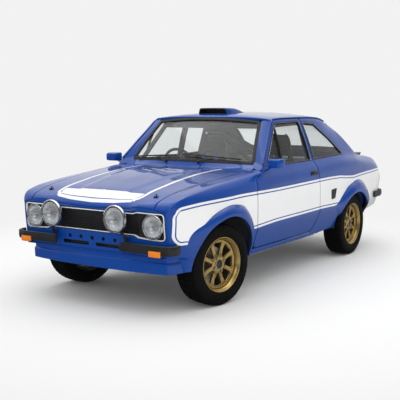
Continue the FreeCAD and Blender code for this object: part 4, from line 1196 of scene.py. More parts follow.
# ---------------------------------------------------------------- doors
def door_loops():
    low = side_line(UPPER, [(DOOR_FRONT, 906), (DOOR_FRONT, 400), (450, 372), (476, 352), (1456, 343),
                            (1520, 372), (1545, 400), (1595, 510), (1596, 650), (1590, 800), (1553, 925),
                            (1545, 1000)])
    up = side_line(UPPER, [(1545, 1000), (1508, 1346)])
    top = np.array([(u, RAIL - 13) for u in np.arange(1504, 1018, -12.0)])
    hinge_side = [(604, 955), (576, 925), (540, 916), (DOOR_FRONT, 906)]
    down = side_line(UPPER, list(reversed(door_front_line)) + hinge_side)
    return clean(np.vstack([low, up, top, down]))


window_hole = side_opening([(684, 978), (1513, 984), (1478, 1330), (1052, 1322), (1008, 1306)],
                           [14, 16, 18, 20, 20], 12)


def door_depth(p):
    return np.where(p[:, 2] < 935, 58.0, 24.0)


door = panel(UPPER, door_loops(), holes=[window_hole], marks=band_marks(UPPER, 440, 1600), paint=band_paint,
             thick=door_depth)
mirrored_pair("door_panel", door, SKIN, body="door", nodes=["door"], slot="body_paint")
window("door_window", UPPER, window_hole, "door_glass", seal=14.0, sink=9.0, body="door", twin="pair")
bar_line = side_line(UPPER, [(968, 982), (1006, 1302)])
quarterlight = trim(UPPER, bar_line, [(-9, -12), (9, -12), (9, 0), (6, 3), (-6, 3), (-9, 0)], closed=False)
mirrored_pair("quarterlight_bar", quarterlight, [RUBBER], body="door")


# ---------------------------------------------------------------- rear quarters
SEAM_U, SEAM_G = 2800.0, CREST - 30.0
arch = wheel_arch("rear", math.pi - 0.02, 0.35)
low = side_line(UPPER, [(1467, 303)] + [p for p in arch if p[1] > 303] + [(2752, 356), (2800, 370)])
seam_side = across_at(SEAM_U, low[-1, 1], SEAM_G + 1, 12.0)
seam_top = np.array([(u, SEAM_G) for u in np.arange(SEAM_U, 2650, -12.0)])
trail = side_line(UPPER, [(2652, 985), (2629, 1000), (2500, 1088), (2368, 1178), (2240, 1262), (2150, 1318)])
cant = np.array([(u, RAIL - 13) for u in np.arange(2118, 1520, -14.0)])
front = side_line(UPPER, [(1517, 1346), (1554, 1000), (1562, 925), (1599, 800), (1605, 650), (1604, 510),
                         (1554, 393), (1527, 365), (1467, 336), (1467, 303)])
quarter_loop = clean(np.vstack([low, seam_side, seam_top, trail, cant, front]))
quarter_hole = side_opening([(1571, 988), (2262, 1006), (2040, 1152), (1775, 1304), (1540, 1322)],
                            [16, 14, 60, 34, 16], 12)
quarter = panel(UPPER, quarter_loop, holes=[quarter_hole], marks=band_marks(UPPER, 1600, 2800),
                paint=band_paint, seams=[seam_side, seam_top], thick=14.0)
edge_low = side_line(LOWER, [(2800, 370), (2950, 385), (3262, 422)])
tail_edge = across_at(TAIL_U, edge_low[-1, 1], CREST + 1, 12.0)
BOOT_EDGE = ((BOOT_FRONT, 545.0), (TAIL + 10, 500.0))
s_run = np.arange(3264, 2741, -12.0)
boot_side = LOWER.girth_at(s_run, edge_x(BOOT_EDGE, s_run) + SHUT, 0)
tail_top = across_at(TAIL_U, CREST + 10, boot_side[0, 1], 12.0)
deck_front = plan_line(LOWER, [(2741, 551), (2690, 551), (2690, 640), (2600, 650), (2600, 672)])
tuck = np.array([(2600.0, CREST + 22), (2652.0, CREST + 22), (2652.0, SEAM_G)])
rear_loop = clean(np.vstack([edge_low, tail_edge, tail_top, boot_side, deck_front, tuck, seam_top[::-1],
                             seam_side[::-1]]))
tail_side = panel(LOWER, rear_loop, marks=band_marks(LOWER, 2800, 3262), paint=band_paint, thick=12.0,
                  seams=[seam_side, seam_top, tail_edge, tail_top])
quarter.join(tail_side, rear_flare)
mirrored_pair("quarter_panel", quarter, SKIN, nodes=["rear_quarter"], slot="body_paint")
window("quarter_window", UPPER, quarter_hole, "quarter_windows", seal=14.0, sink=8.0, twin="joined")


# ---------------------------------------------------------------- rear window, deck and boot
BACK_W, BACK_H = 600.0, 700.0


def back_surface(ab):
    ab = np.asarray(ab, float)
    x, v = -ab[:, 0] / BACK_W, 1 - ab[:, 1] / BACK_H
    half = 588 + 70 * v
    return columns(x * half, 2142 + 572 * v - x**2 * (26 + 50 * v) + 40 * v * (1 - v),
                     1383 - 391 * v - x**2 * (52 - 46 * v) + 40 * v * (1 - v))


back_outline = quad_loop([(-612, 0), (612, 0), (604, 698), (-604, 698)], 8, 20)
back_hole = quad_loop([(-520, 90), (520, 90), (506, 610), (-506, 610)], 60, 16)
surround = panel(back_surface, back_outline, holes=[back_hole], thick=14.0, radius=6.0, step=30.0)
surround.make("rear_surround", SKIN, nodes=["rear_deck"], slot="body_paint")
window("rear_window", back_surface, back_hole, "rear_window", seal=22.0)

near, far = both_sides(plan_line(LOWER, [(2660, 640), (2741, 640)]), CREST, HALF_TOP)
deck_loop = clean(np.vstack([near, across_at(2741.0, near[-1, 1], far[-1, 1], 15.0), far[::-1],
                             across_at(2660.0, far[0, 1], near[0, 1], -15.0)]))
deck = panel(TOP, deck_loop, thick=12.0, radius=3.0, step=25.0)
shelf = bar([(-575, 2400), (575, 2400), (600, 2690), (-600, 2690)], 928, 938, 2.0, "xy")
deck.join(shelf, index=3)
deck.make("rear_deck_panel", SKIN, slot="body_paint")

s_run = np.arange(2748, 3270, 12.0)
left, right = both_sides(LOWER.girth_at(s_run, edge_x(BOOT_EDGE, s_run), 0), CREST, HALF_TOP)
lid_rear = across_at(TAIL_U, left[-1, 1], right[-1, 1], 12.0)
lid_front = across_at(BOOT_FRONT, right[0, 1], left[0, 1], -12.0)
boot = panel(TOP, clean(np.vstack([left, lid_rear, right[::-1], lid_front])), step=26.0, radius=2.5,
             thick=lambda p: np.interp(p[:, 1], [2752, 2800], [2.6, 14.0]), seams=[lid_rear])


def tail_surface(xz):
    x, z = -xz[:, 0], xz[:, 1]
    return columns(x, TAIL_FACE + curve_through(z, TAIL_BULGE)[:, 0] - 4 * (x / 650)**2, z)


deck_end = TOP(lid_rear)
lid_top = columns(-deck_end[:, 0], deck_end[:, 2])
lid_face = clean(np.vstack([lid_top, resample([lid_top[-1], (500, 604), (-500, 604), lid_top[0]], 14)]))
boot_face = panel(tail_surface, lid_face, thick=12.0, step=24.0, seams=[lid_top])
boot.join(boot_face)
boot.make("boot_panel", SKIN, body="boot_lid", nodes=["boot_lid"], slot="body_paint")

tail_line = LOWER(np.vstack([tail_edge, tail_top]))
half = columns(tail_line[:, 0], tail_line[:, 2])
inner_edge = [(506, half[-1, 1]), (506, 598), (-506, 598), (-506, half[-1, 1])]
tail_loop = clean(np.vstack([half, resample(inner_edge, 14), half[::-1] * [-1, 1],
                             resample([(-half[0, 0], half[0, 1]), (half[0, 0], half[0, 1])], 16)]))
lamp_holes = [quad_loop([(s * 515, 682), (s * 676, 682), (s * 672, 772), (s * 515, 772)], 10, 12)
              for s in (1, -1)]
tail = panel(tail_surface, tail_loop, holes=lamp_holes, thick=12.0, radius=3.0, step=24.0,
             seams=[half, half * [-1, 1]])
tail.make("tail_panel", SKIN, nodes=["rear_panel"], slot="body_paint")
for i, hole in enumerate(lamp_holes):
    lens = panel(sunk(tail_surface, -5), offset(ccw(hole), 1.5), thick=16.0, radius=5.0, step=20.0)
    lens.index = [0 if abs(lens.points[f[0]][0]) < 632 else 1 for f in lens.faces]
    lens.make("tail_lamp_%d" % i, [RED, AMBER], nodes=["tail_lamps"], slot="red_lens")

sill = panel(LOWER, clean(np.vstack([side_line(LOWER, [(438, 303), (1466, 303), (1466, 335), (438, 345)]),
                                     side_line(LOWER, [(438, 345), (438, 303)])])), thick=10.0, radius=3.0)
mirrored_pair("sill_panel", sill, SKIN, slot="body_paint")


# ---------------------------------------------------------------- scuttle and bulkhead
def plan_points(surface, stations, x):
    return surface(surface.girth_at(stations, x, 0))


def scuttle_surface(ab):
    ab = np.asarray(ab, float)
    x, t = ab[:, 0] / SCREEN_W, ab[:, 1][:, None] / 60
    rear = screen_surface(columns(ab[:, 0], np.full(len(ab), 2.0)))
    flat = plan_points(LOWER, np.full(len(ab), 567.0), np.abs(x) * 640)
    flat[:, 0] *= np.sign(x)
    return flat + (rear - flat) * t + np.array([0, 0, -8.0]) * (4 * t * (1 - t))


scuttle = panel(scuttle_surface, quad_loop([(-600, 0), (600, 0), (600, 60), (-600, 60)], 3, 20), thick=8.0,
                radius=3.0, step=22.0)
for side in (1, -1):
    for k in range(9):
        a = side * (150 + 26 * k)
        louvre = resample([(a, 14), (a, 44)], 8)
        scuttle.join(trim(scuttle_surface, louvre, [(-6, -1), (6, -1), (5, 1.5), (-5, 2.5)], closed=False))
scuttle.index = [0] * len(scuttle.faces)
wall = bar([(430, 312), (440, 312), (440, 880), (430, 880)], -698, 698, 2.0)
wall.join(bar([(430, 880), (640, 884), (640, 890), (430, 890)], -640, 640, 2.0))
for side in (1, -1):
    x0, x1 = sorted((side * 604, side * 698))
    wall.join(bar([(398, 302), (430, 302), (430, 880), (398, 880)], x0, x1, 2.0))
scuttle.join(wall, index=2)
scuttle.make("scuttle_panel", SKIN, nodes=["bulkhead"], slot="body_paint")


# ---------------------------------------------------------------- grille and lamps
def facing(shape, x, s, z):
    """Shape turned about the x axis, moved so that its +x end looks forward."""
    return shape.moved(lambda p: columns(x + p[:, 1], s - p[:, 0], z + p[:, 2]))


# x, z and radius of the lamps, and the stations of their rims
HEADLAMP, LAMP_FACE = (550.0, 643.0, 89.0), -609
SPOT_LAMP, SPOT_FACE = (297.0, 687.0, 98.0), -709
back_loop = quad_loop([(-655, 545), (655, 545), (655, 738), (-655, 738)], 10, 20)
lamp_rings = [oval((s * HEADLAMP[0], HEADLAMP[1]), 91, 91, 40) for s in (1, -1)]
grille = panel(sunk(nose_surface, 11), back_loop, holes=lamp_rings, thick=4.0, radius=2.0, step=24.0)
for k in range(11):
    z = 582 + 13.6 * k
    blade = [(-611, z - 2), (-598, z - 4), (-598, z + 2), (-611, z + 2.2)]
    grille.join(bar(blade, -424, 424, 1.0))
for x in (-300, -150, 0, 150, 300):
    grille.join(bar([(-606, 575), (-598, 575), (-598, 728), (-606, 728)], x - 2, x + 2, 0.6))
for side in (1, -1):
    surround = oval((side * HEADLAMP[0], HEADLAMP[1]), 97, 94, 40)
    grille.join(trim(sunk(nose_surface, 11), surround, [(-3, -2), (5, -2), (3, 7), (-1, 8)]))
grille.index = [0] * len(grille.faces)
grille.make("grille_black", [BLACK], nodes=["grille"], slot="grille_black")
bezel = ccw(grille_hole)
trim(nose_surface, offset(bezel, 4.5), bead(0, 8.5, -8, 5.0)).make("grille_bezel", [WHITE])
# Thin satin black bead just outside the white bezel: a painted shadow along the grille's edge
trim(nose_surface, offset(bezel, -3.5), bead(0, 5.5, -9, 1.4)).make("grille_bezel_shadow", [BLACK])

# Reflector: depth in mm and share of the rim's radius
DISH = [(0, 0.96), (-8, 0.93), (-18, 0.86), (-30, 0.75), (-40, 0.6), (-47, 0.42), (-51, 0.22), (-52, 0.02)]


def lens_shape(r, front, back):
    """Domed glass of radius r: x of its front from the edge to the middle, x of its back at both."""
    dome = [(x, share * r) for x, share in zip(front, (1, 0.8, 0.5))]
    return lathe(dome + [(front[3], 0.1), (back[1], 0.1), (back[0], r)], 48, closed=True)


for side, name in SIDES:
    x, z, r = side * HEADLAMP[0], HEADLAMP[1], HEADLAMP[2]
    rim_profile = [(-16, r - 1), (4, r - 1), (9, r - 3), (12, r - 7), (11, r - 11), (6, r - 12), (-2, r - 13),
                   (-16, r - 13)]
    ring_shape = facing(lathe(rim_profile[::-1], 56, closed=True), x, LAMP_FACE, z)
    dish = facing(lathe([(a, b * (r - 12)) for a, b in DISH], 48), x, LAMP_FACE, z)
    cap = facing(lathe([(-10, 0.1), (-11, 6), (-15, 10), (-22, 11), (-22, 0.1)][::-1], 24), x, LAMP_FACE, z)
    lamp = Shape().join(ring_shape, cap).join(dish, index=1)
    lamp.make("headlamp_" + name, [CHROME, REFLECTOR], nodes=["headlamps"], slot="lamp")
    facing(lens_shape(r - 12, (4, 8, 11, 12), (1, 9)), x, LAMP_FACE, z).make("headlamp_lens_" + name, [LENS])
    x, z, r = side * SPOT_LAMP[0], SPOT_LAMP[1], SPOT_LAMP[2]
    shell = [(-78, 0.1), (-77, 26), (-68, 52), (-46, 78), (-24, 91), (-13, r - 4), (-13, r), (-1, r), (4, r - 3),
             (6, r - 8), (4, r - 13), (-4, r - 14)]
    body = facing(lathe(shell, 60), x, SPOT_FACE, z)
    dish = facing(lathe([(a - 4, b * (r - 14)) for a, b in DISH], 48), x, SPOT_FACE, z)
    cap = facing(lathe([(-10, 0.1), (-11, 7), (-17, 12), (-26, 13), (-26, 0.1)][::-1], 24), x, SPOT_FACE, z)
    stem = tube([(x, -668, z - 88), (side * 318, -656, 590), (side * 340, -645, 562), (side * 340, -625, 540)],
                8.5)
    foot = tube([(side * 340, -630, 548), (side * 340, -622, 530)], 17, 14)
    lamp = Shape().join(body, cap).join(dish, index=2).join(stem, foot, index=1)
    lamp.make("spot_lamp_" + name, [CHROME, BLACK, REFLECTOR], nodes=["spot_lamps"], slot="lamp")
    facing(lens_shape(r - 13, (-4, 2, 5.5, 6.5), (-7, 3.5)), x, SPOT_FACE, z).make("spot_lens_" + name, [LENS])


# ---------------------------------------------------------------- bumpers and lamps beside them
END_SHARE, END_REACH = 0.8, 5      # a bumper's end is drawn in to this share, over this length


def swept(path, section):
    """Section of (outwards, z) along a plan path of (x, station) that has the car on its left."""
    path = np.array(path, float)
    ahead = directions(path)
    out = columns(ahead[:, 1], -ahead[:, 0])
    rings = np.array([[(*(p + n * o), z) for o, z in section] for p, n in zip(path, out)])
    ends = []
    for i, way in ((0, -1), (-1, 1)):
        middle = rings[i].mean(axis=0)
        ends.append(middle + (rings[i] - middle) * END_SHARE + np.append(ahead[i] * END_REACH * way, 0))
    return loft(np.array([ends[0], *rings, ends[1]])[:, ::-1])


def curve_path(points, radius, step=16.0):
    """Open line whose inner corners are rounded."""
    loop = rounded(list(points) + [points[0]], [0] + [radius] * (len(points) - 2) + [0, 0])
    return resample(loop[:-1], step)


bumper_section = [(-12, 463), (-3, 458), (3, 461), (7, 472), (8, 491), (7, 510), (3, 521), (-3, 525),
                  (-12, 521)]
bumper_path = curve_path([(304, -655), (632, -650), (704, -632), (728, -590), (731, -549)], 40)
bumper = swept(bumper_path, bumper_section)
bumper.join(bar([(-648, 480), (-612, 480), (-612, 502), (-648, 502)], 420, 450, 2.0))
lip_path = curve_path([(306, -661), (632, -656), (708, -638), (734, -592), (736.5, -552)], 40)
bumper.join(swept(lip_path, [(-4, 515), (1, 514), (2.5, 517), (1, 520), (-4, 519)]))
mirrored_pair("front_bumper", bumper, [BLACK], shared=["front_bumpers"], slot="bumper_black")
rear_path = curve_path([(424, 3317), (690, 3317), (740, 3290), (768, 3180), (771, 3006)][::-1], 40)
rear_section = [(o, z + 52) for o, z in bumper_section]
rear_bumper = swept(rear_path, rear_section)
rear_bumper.join(bar([(3270, 530), (3312, 530), (3312, 555), (3270, 555)], 520, 550, 2.0))
mirrored_pair("rear_bumper", rear_bumper, [BLACK], shared=["rear_bumpers"], slot="bumper_black")
for side, name in SIDES:
    x0, x1 = sorted((side * 554, side * 650))
    box = rounded([(447, x0), (447, x1), (488, x1), (488, x0)], 6)
    lamp = bar(box, -668, -648, 5.0, "xz")
    base = bar(rounded([(443, x0 - 3), (443, x1 + 3), (491, x1 + 3), (491, x0 - 3)], 7), -656, -642, 2.0, "xz")
    lamp.join(base, index=1)
    lamp.make("indicator_" + name, [AMBER, BLACK], nodes=["indicators"], slot="amber")


# ---------------------------------------------------------------- mirrors, handles, wipers, pins, vents
def pod(centre, half, front, rear, power=3.2):
    """Rounded housing whose sections are superellipses, ahead it closes to a blunt nose."""
    loop = superellipse(28, 2 / power)
    rings = []
    for k, scale in ((0, 0.60), (0.03, 0.74), (0.10, 0.83), (0.25, 0.91), (0.5, 0.97), (0.92, 1.0), (1.0, 0.97),
                     (1.0, 0.90), (0.95, 0.88)):
        y = front + (rear - front) * k
        rings.append([(centre[0] + a * half[0] * scale, y, centre[1] + b * half[1] * scale - 4 * (1 - scale))
                      for a, b in loop])
    return loft(rings)


housing = pod((826, 1010), (62, 39), 596, 690, 7.0)
housing.join(tube([(722, 664, 946), (752, 660, 962), (792, 652, 984), (806, 650, 992)], 8, 12, squash=(14, 8)))
foot = tube([(716, 664, 940), (726, 664, 952)], 20, 16)
housing.join(foot)
mirrored_pair("mirror_housing", housing, [BLUE, WHITE, BLACK], nodes=["mirror"], slot="body_paint")
face = superellipse(32, 0.3)
pane = bar(columns(1009 + 33 * face[:, 1], 826 + 54 * face[:, 0]), 684.5, 688.0, 0.5, "xz")
mirrored_pair("mirror_pane", pane, [MIRROR])

handle = Shape()
for line, step, profile in (
        ([(1414, 872), (1548, 874)], 12, [(-19, -2), (19, -2), (17, 3), (11, 5), (-11, 5), (-17, 3)]),
        ([(1438, 879), (1480, 880), (1544, 880)], 10, [(-8, 3), (8, 3), (8, 12), (4, 16), (-4, 16), (-8, 12)]),
        ([(1416, 870), (1432, 870)], 4, [(-10, 3), (10, 3), (7, 9), (-7, 9)])):
    handle.join(trim(UPPER, side_line(UPPER, line, step), profile, closed=False))
mirrored_pair("door_handle", handle, [BLACK], body="door")

scoop_loop = ccw(side_opening([(1846, 690), (1960, 698), (1926, 610), (1852, 606)], 5, 8))
scoop = panel(sunk(UPPER, -1.2), scoop_loop, thick=3.0, radius=1.0, step=20.0)
scoop.join(trim(UPPER, scoop_loop, [(-4, -2), (3, -2), (2, 4), (-2, 4)]))
for z in (640, 656, 672):
    scoop.join(trim(UPPER, side_line(UPPER, [(1862, z), (1926 + (z - 640) * 0.4, z)], 12),
                    [(-2, 0), (4, 0), (2, 5), (-2, 2)], closed=False))
mirrored_pair("quarter_scoop", scoop, [BLACK])


def upright(shape, x, s, z):
    """Shape turned about the x axis, with its +x end up."""
    return shape.moved(lambda p: columns(x + p[:, 1], s + p[:, 2], z + p[:, 0]))


pin = lathe([(0, 0.1), (0, 19), (2, 21), (4, 20), (5, 12), (5, 5), (17, 4.5), (19, 3), (19.5, 0.1)], 24)
for side, name in SIDES:
    at_pin = plan_points(LOWER, [-489.0], [495.0])[0]
    top = upright(pin, side * at_pin[0], at_pin[1], at_pin[2] - 1)
    top.join(tube([(side * 495 - 13, -489, at_pin[2] + 13), (side * 495 + 14, -486, at_pin[2] + 13)], 1.6, 6))
    top.make("bonnet_pin_" + name, [BLACK], body="bonnet")


def blade(points, lift, radius):
    """Bar along a line on the windscreen, lift above the glass."""
    line = resample(points, 14)
    on = screen_surface(line) + normals(screen_surface, line) * lift
    return tube(on, radius, 8, squash=radius if isinstance(radius, tuple) else None)


wipers = Shape()
for tip, root, pivot in (((-540, 34), (-110, 62), (-190, -14)), ((478, 44), (-50, 74), (120, -14))):
    wipers.join(blade([tip, root], 9, (3.6, 5.5)))
    wipers.join(blade([tip, root], 15, (6.5, 2.4)))
    middle = ((tip[0] + root[0]) / 2, (tip[1] + root[1]) / 2)
    wipers.join(blade([pivot, ((pivot[0] + middle[0]) / 2, middle[1] * 0.45), middle], 18.5, (5.5, 2.8)))
    hub = screen_surface(np.array([pivot], float))[0]
    cap = lathe([(-10, 0.1), (-10, 10), (10, 10), (14, 7), (15, 0.1)], 20)
    wipers.join(upright(cap, hub[0], hub[1] + 5, hub[2] + 7))
wipers.make("wipers", [BLACK])


def vent_ring(s, width, top, inset=0.0):
    roof_z = ROOF_TOP(np.array([[s, ROOF_HALF]]))[0, 2] - 6 + inset
    w, t = width - inset, top - inset
    half = [(w, roof_z), (w - 4, roof_z + (t - roof_z) * 0.55), (w - 9, t - 9), (w - 15, t - 3), (w - 26, t),
            (w * 0.45, t + 1), (0, t + 1.5)]
    return [(x, s, z) for x, z in half] + [(-x, s, z) for x, z in reversed(half[:-1])]


rings = [vent_ring(*row) for row in (
    (1402, 118, 1403), (1370, 126, 1408), (1300, 136, 1425), (1230, 142, 1438), (1170, 146, 1445),
    (1100, 149, 1447), (1024, 150, 1446), (1018, 149, 1445, 2), (1019, 149, 1445, 11), (1110, 146, 1443, 13))]
vent = loft([ring[::-1] for ring in rings][::-1])
count = len(rings[0])
# The duct's inner walls and the cap that closes it deep inside are satin black: painted shade in the scoop's
# opening; the cap at the tail end is black too
vent.index = [2 if face[0] < 2 * count or len(face) > 4 else 0 for face in vent.faces]
vent.make("roof_scoop", SKIN, nodes=["roof_vent"], slot="body_paint")


# ---------------------------------------------------------------- wheels
SPOKES = 8
NUT_CIRCLE = 54
TREAD_HALF, TREAD_COLUMNS, TREAD_STEPS = 82, 34, 288
BLOCK_DEPTH, RING_DEPTH, SIPE_DEPTH, EDGE_DEPTH = 6.0, 7.0, 1.6, 3.5
RING_GROOVES = (7, 14, 20, 27)       # columns of the grooves that run right round


def turned(points, x, degrees):
    """Points turned about the upright steering axis at (x, STEER_STATION)."""
    a = math.radians(degrees)
    dx, ds = points[:, 0] - x, points[:, 1] - STEER_STATION
    return columns(x + dx * math.cos(a) - ds * math.sin(a),
                     STEER_STATION + dx * math.sin(a) + ds * math.cos(a), points[:, 2])


def on_wheel(shape, end, side):
    """A shape about the x axis, outer side +x, where that wheel stands."""
    half, station = (FRONT_TRACK_HALF, STEER_STATION) if end == "front" else (REAR_TRACK_HALF, WHEELBASE)
    out = shape.moved(lambda p: p + np.array([half, station, TYRE_R]))
    if end == "front":
        out = out.moved(lambda p: turned(p, STEER_X, STEER_AT_REST))
    if side == "right":
        out = out.mirror()
        if end == "front":
            out = out.moved(lambda p: turned(p, -STEER_X, 2 * STEER_AT_REST))
    return out


def rim_face(yz):
    yz = np.asarray(yz, float)
    r = np.hypot(yz[:, 0], yz[:, 1])
    x = np.interp(r, [0, 34, 62, 78, 120, 152, 172, 182], [60, 60, 59, 50, 47, 50, 56, 58])
    return columns(x, yz[:, 0], yz[:, 1])


def rim_shape():
    windows = []
    for k in range(SPOKES):
        middle = math.radians(360 / SPOKES * k)
        corners = []
        for r, half_width in ((72, 18.5), (112, 16.0), (146, 18.0), (160, 25.0)):
            corners.append((r, math.pi / SPOKES - half_width / r))
        loop = [(r * math.cos(middle + a), r * math.sin(middle + a)) for r, a in corners]
        loop += [(r * math.cos(middle - a), r * math.sin(middle - a)) for r, a in reversed(corners)]
        windows.append(clean(resample(rounded(loop, [9, 40, 12, 14, 14, 12, 40, 9]), 6, closed=True), 1.0))
    shape = panel(rim_face, oval((0, 0), 181, 181, 120), holes=windows + [oval((0, 0), 33, 33, 36)], thick=22.0,
                  radius=6.0, step=13.0)
    barrel = [(58, 182), (70, 180), (82, 186), (88, 197), (92, 200), (92, 204), (84, 204), (84, 190),
              (60, 187), (-60, 187), (-84, 190), (-84, 204), (-92, 204), (-92, 200), (-84, 186), (-70, 178),
              (34, 174), (34, 181)]
    turned_barrel = lathe(barrel, 96, closed=True)
    at = np.array(turned_barrel.points, float)
    middle = np.array([at[list(f)].mean(axis=0) for f in turned_barrel.faces])
    # The barrel's faces deep inside the wheel take the dark chassis finish, not gold: painted shade in the
    # recess behind the spokes
    deep = (middle[:, 0] < 36) | ((middle[:, 0] < 60) & (np.hypot(middle[:, 1], middle[:, 2]) < 181))
    shape.join(turned_barrel, index=deep.astype(int).tolist())
    shape.join(lathe([(58, 32), (64, 34), (64, 42), (56, 46), (30, 46), (30, 32)][::-1], 40, closed=True))
    return shape


def hub_shape():
    """Centre in satin black, painted shade in the rim's centre hole; nuts, and the disc and bell behind the
    spokes.
    """
    hub = lathe([(44, 0.1), (44, 31.5), (34, 31.5), (34, 0.1)][::-1], 36)
    for k in range(4):
        a = math.radians(22.5 + 90 * k)
        at = (NUT_CIRCLE * math.cos(a), NUT_CIRCLE * math.sin(a))
        for r, x0, x1 in ((10.0, 56.0, 70.0), (13.0, 55.0, 60.5)):
            hub.join(bar(oval(at, r, r, 6), x0, x1, 1.5), index=1)
    hub.join(lathe([(-18, 60), (-18, 124), (-30, 124), (-30, 60)], 64, closed=True), index=1)
    bell = lathe([(30, 31), (30, 62), (-20, 66), (-46, 66), (-46, 31)], 48, closed=True)
    caliper = [(r * math.cos(a), r * math.sin(a)) for r, turn in ((118, (150, 211, 6)), (82, (210, 149, -6)))
               for a in np.radians(np.arange(*turn))]
    return hub.join(bell, bar(caliper, -50, -6, 3.0), index=2)


def tyre_shape():
    wall = [(83.5, 191), (84.2, 200), (85.5, 206), (90, 213), (94.5, 222), (97, 232), (97.8, 238),
            (99.0, 240), (99.0, 243), (98.2, 245), (98.8, 256), (98.4, 264), (97.6, 267), (97.8, 270),
            (97.0, 273), (95, 283), (91.5, 291), (87, 297)]
    across = np.linspace(TREAD_HALF, -TREAD_HALF, TREAD_COLUMNS)
    crown = [(x, TYRE_R - 4.6 * (abs(x) / TREAD_HALF)**3) for x in across]
    profile = np.array(wall + crown + [(-x, r) for x, r in reversed(wall)])
    n, m = TREAD_STEPS, len(profile)
    t = np.arange(n) * 2 * math.pi / n
    x, r = np.repeat(profile[None, :, 0], n, 0), np.repeat(profile[None, :, 1], n, 0)
    first, last = len(wall), len(wall) + len(crown)
    cut = np.zeros((n, m))
    steps = np.arange(n)
    for j in range(first - 3, last + 3):
        column = j - first
        band = np.clip(column // 7, 0, 4)
        slant = int(round(min(column, TREAD_COLUMNS - 1 - column) * 0.28))
        phase = (steps + slant + 3 * (band % 2)) % 6
        cut[phase == 0, j] = BLOCK_DEPTH if first <= j < last else EDGE_DEPTH
        if column in RING_GROOVES:
            cut[:, j] = RING_DEPTH
        if column % 7 in (2, 3, 4) and 0 <= column < TREAD_COLUMNS:
            cut[phase == 3, j] = np.maximum(cut[phase == 3, j], SIPE_DEPTH)
    radius = r - cut
    pts = np.stack([x, radius * np.cos(t)[:, None], radius * np.sin(t)[:, None]], axis=2)
    faces = [tuple(reversed(f)) for f in grid_faces(n, m, close_rows=True, close_columns=True)]
    return Shape().add(pts.reshape(-1, 3), faces)


RIM, HUB, TREAD = rim_shape(), hub_shape(), tyre_shape()
for end in ("front", "rear"):
    for side in ("left", "right"):
        where = end + "_" + side
        wheel = "wheel_" + where
        on_wheel(RIM, end, side).make("rim_" + where + "_cast", [GOLD, CHASSIS], body=wheel,
                                      nodes=["rim_" + where], slot="rim_gold")
        on_wheel(HUB, end, side).make("hub_" + where, [BLACK, STEEL, CAST], body=wheel)
        on_wheel(TREAD, end, side).make("tyre_" + where + "_tread", [TYRE], body=wheel,
                                        nodes=["tyre_" + where], slot="tyre", angle=28)


# ---------------------------------------------------------------- seats and belts
SEAT_X = 352.0
SLOT_Z = 1004.0      # height of the belt slots
# Middle of the seat's inner face in side view: station, z, half-width, depth of the wings
SPINE = (
    (1136, 478, 170, 52), (1240, 452, 180, 70), (1380, 436, 184, 96), (1452, 448, 184, 120),
    (1492, 500, 184, 138), (1512, 600, 184, 132), (1532, 730, 182, 108), (1552, 850, 180, 82),
    (1570, 930, 172, 62), (1582, 985, 154, 46), (1594, 1040, 132, 38), (1606, 1100, 119, 43),
    (1616, 1148, 104, 42), (1625, 1184, 82, 34), (1630, 1206, 52, 24),
)


def spine(count):
    """The table at evenly spaced points: its rows, their normals (station, z) and the way along it."""
    table = np.array(SPINE, float)
    way = np.concatenate([[0], np.cumsum(np.hypot(*np.diff(table[:, :2], axis=0).T))])
    t = np.linspace(0, way[-1], count)
    rows = curve_through(t, np.column_stack([way, table]))
    d = unit(np.gradient(rows[:, :2], axis=0))
    return rows, columns(-d[:, 1], d[:, 0]), t


def at_seat(rows, normal, i, x, n):
    return (SEAT_X + x, rows[i, 0] + normal[i, 0] * n, rows[i, 1] + normal[i, 1] * n)


STEPS = 160
ROWS, ROW_NORMAL, ROW_WAY = spine(STEPS + 1)
FOLD = 30.0          # radius of the bend between floor and wings


def seat_surface(qt):
    """Bucket seat unrolled: q runs across the floor of the seat and up its wings, t along the spine."""
    q, t = qt[:, 0], qt[:, 1]
    s, z, w = (np.interp(t, ROW_WAY, ROWS[:, k]) for k in (0, 1, 2))
    out = np.stack([np.interp(t, ROW_WAY, ROW_NORMAL[:, k]) for k in (0, 1)], axis=1)
    w = w + 6
    across = np.abs(q)
    a = np.clip((across - (w - FOLD)) / FOLD, 0, math.pi / 2)
    past = np.maximum(across - (w - FOLD) - FOLD * math.pi / 2, 0)
    x = np.minimum(across, w - FOLD) + FOLD * np.sin(a) + past * 0.10
    n = FOLD * (1 - np.cos(a)) + past - 10
    return columns(SEAT_X + np.sign(q) * x, s + out[:, 0] * n, z + out[:, 1] * n)


def seat_shell():
    t = np.linspace(3, ROW_WAY[-1] - 3, 60)
    edge = np.interp(t, ROW_WAY, ROWS[:, 2]) + 6 + 17 + np.maximum(np.interp(t, ROW_WAY, ROWS[:, 3]) - FOLD, 0)
    right = columns(edge, t)
    outline = quad_loop(np.vstack([right, right[::-1] * [-1, 1]]), 16, 12)
    holes = []
    slot = ROW_WAY[np.argmin(np.abs(ROWS[:, 1] - SLOT_Z) + (ROWS[:, 0] < 1550) * 999)]
    for side in (1, -1):
        hole = [(side * 34, slot - 34), (side * 104, slot - 30), (side * 92, slot + 26), (side * 40, slot + 40)]
        holes.append(quad_loop(hole, 16, 8))
    holes.append(quad_loop([(-44, 118), (44, 118), (44, 148), (-44, 148)], 13, 8))
    return panel(seat_surface, outline, holes=holes, thick=9.0, radius=3.5, step=20.0)


def evaluated(obj):
    bpy.context.view_layer.update()
    return bpy.data.meshes.new_from_object(obj.evaluated_get(bpy.context.evaluated_depsgraph_get()))


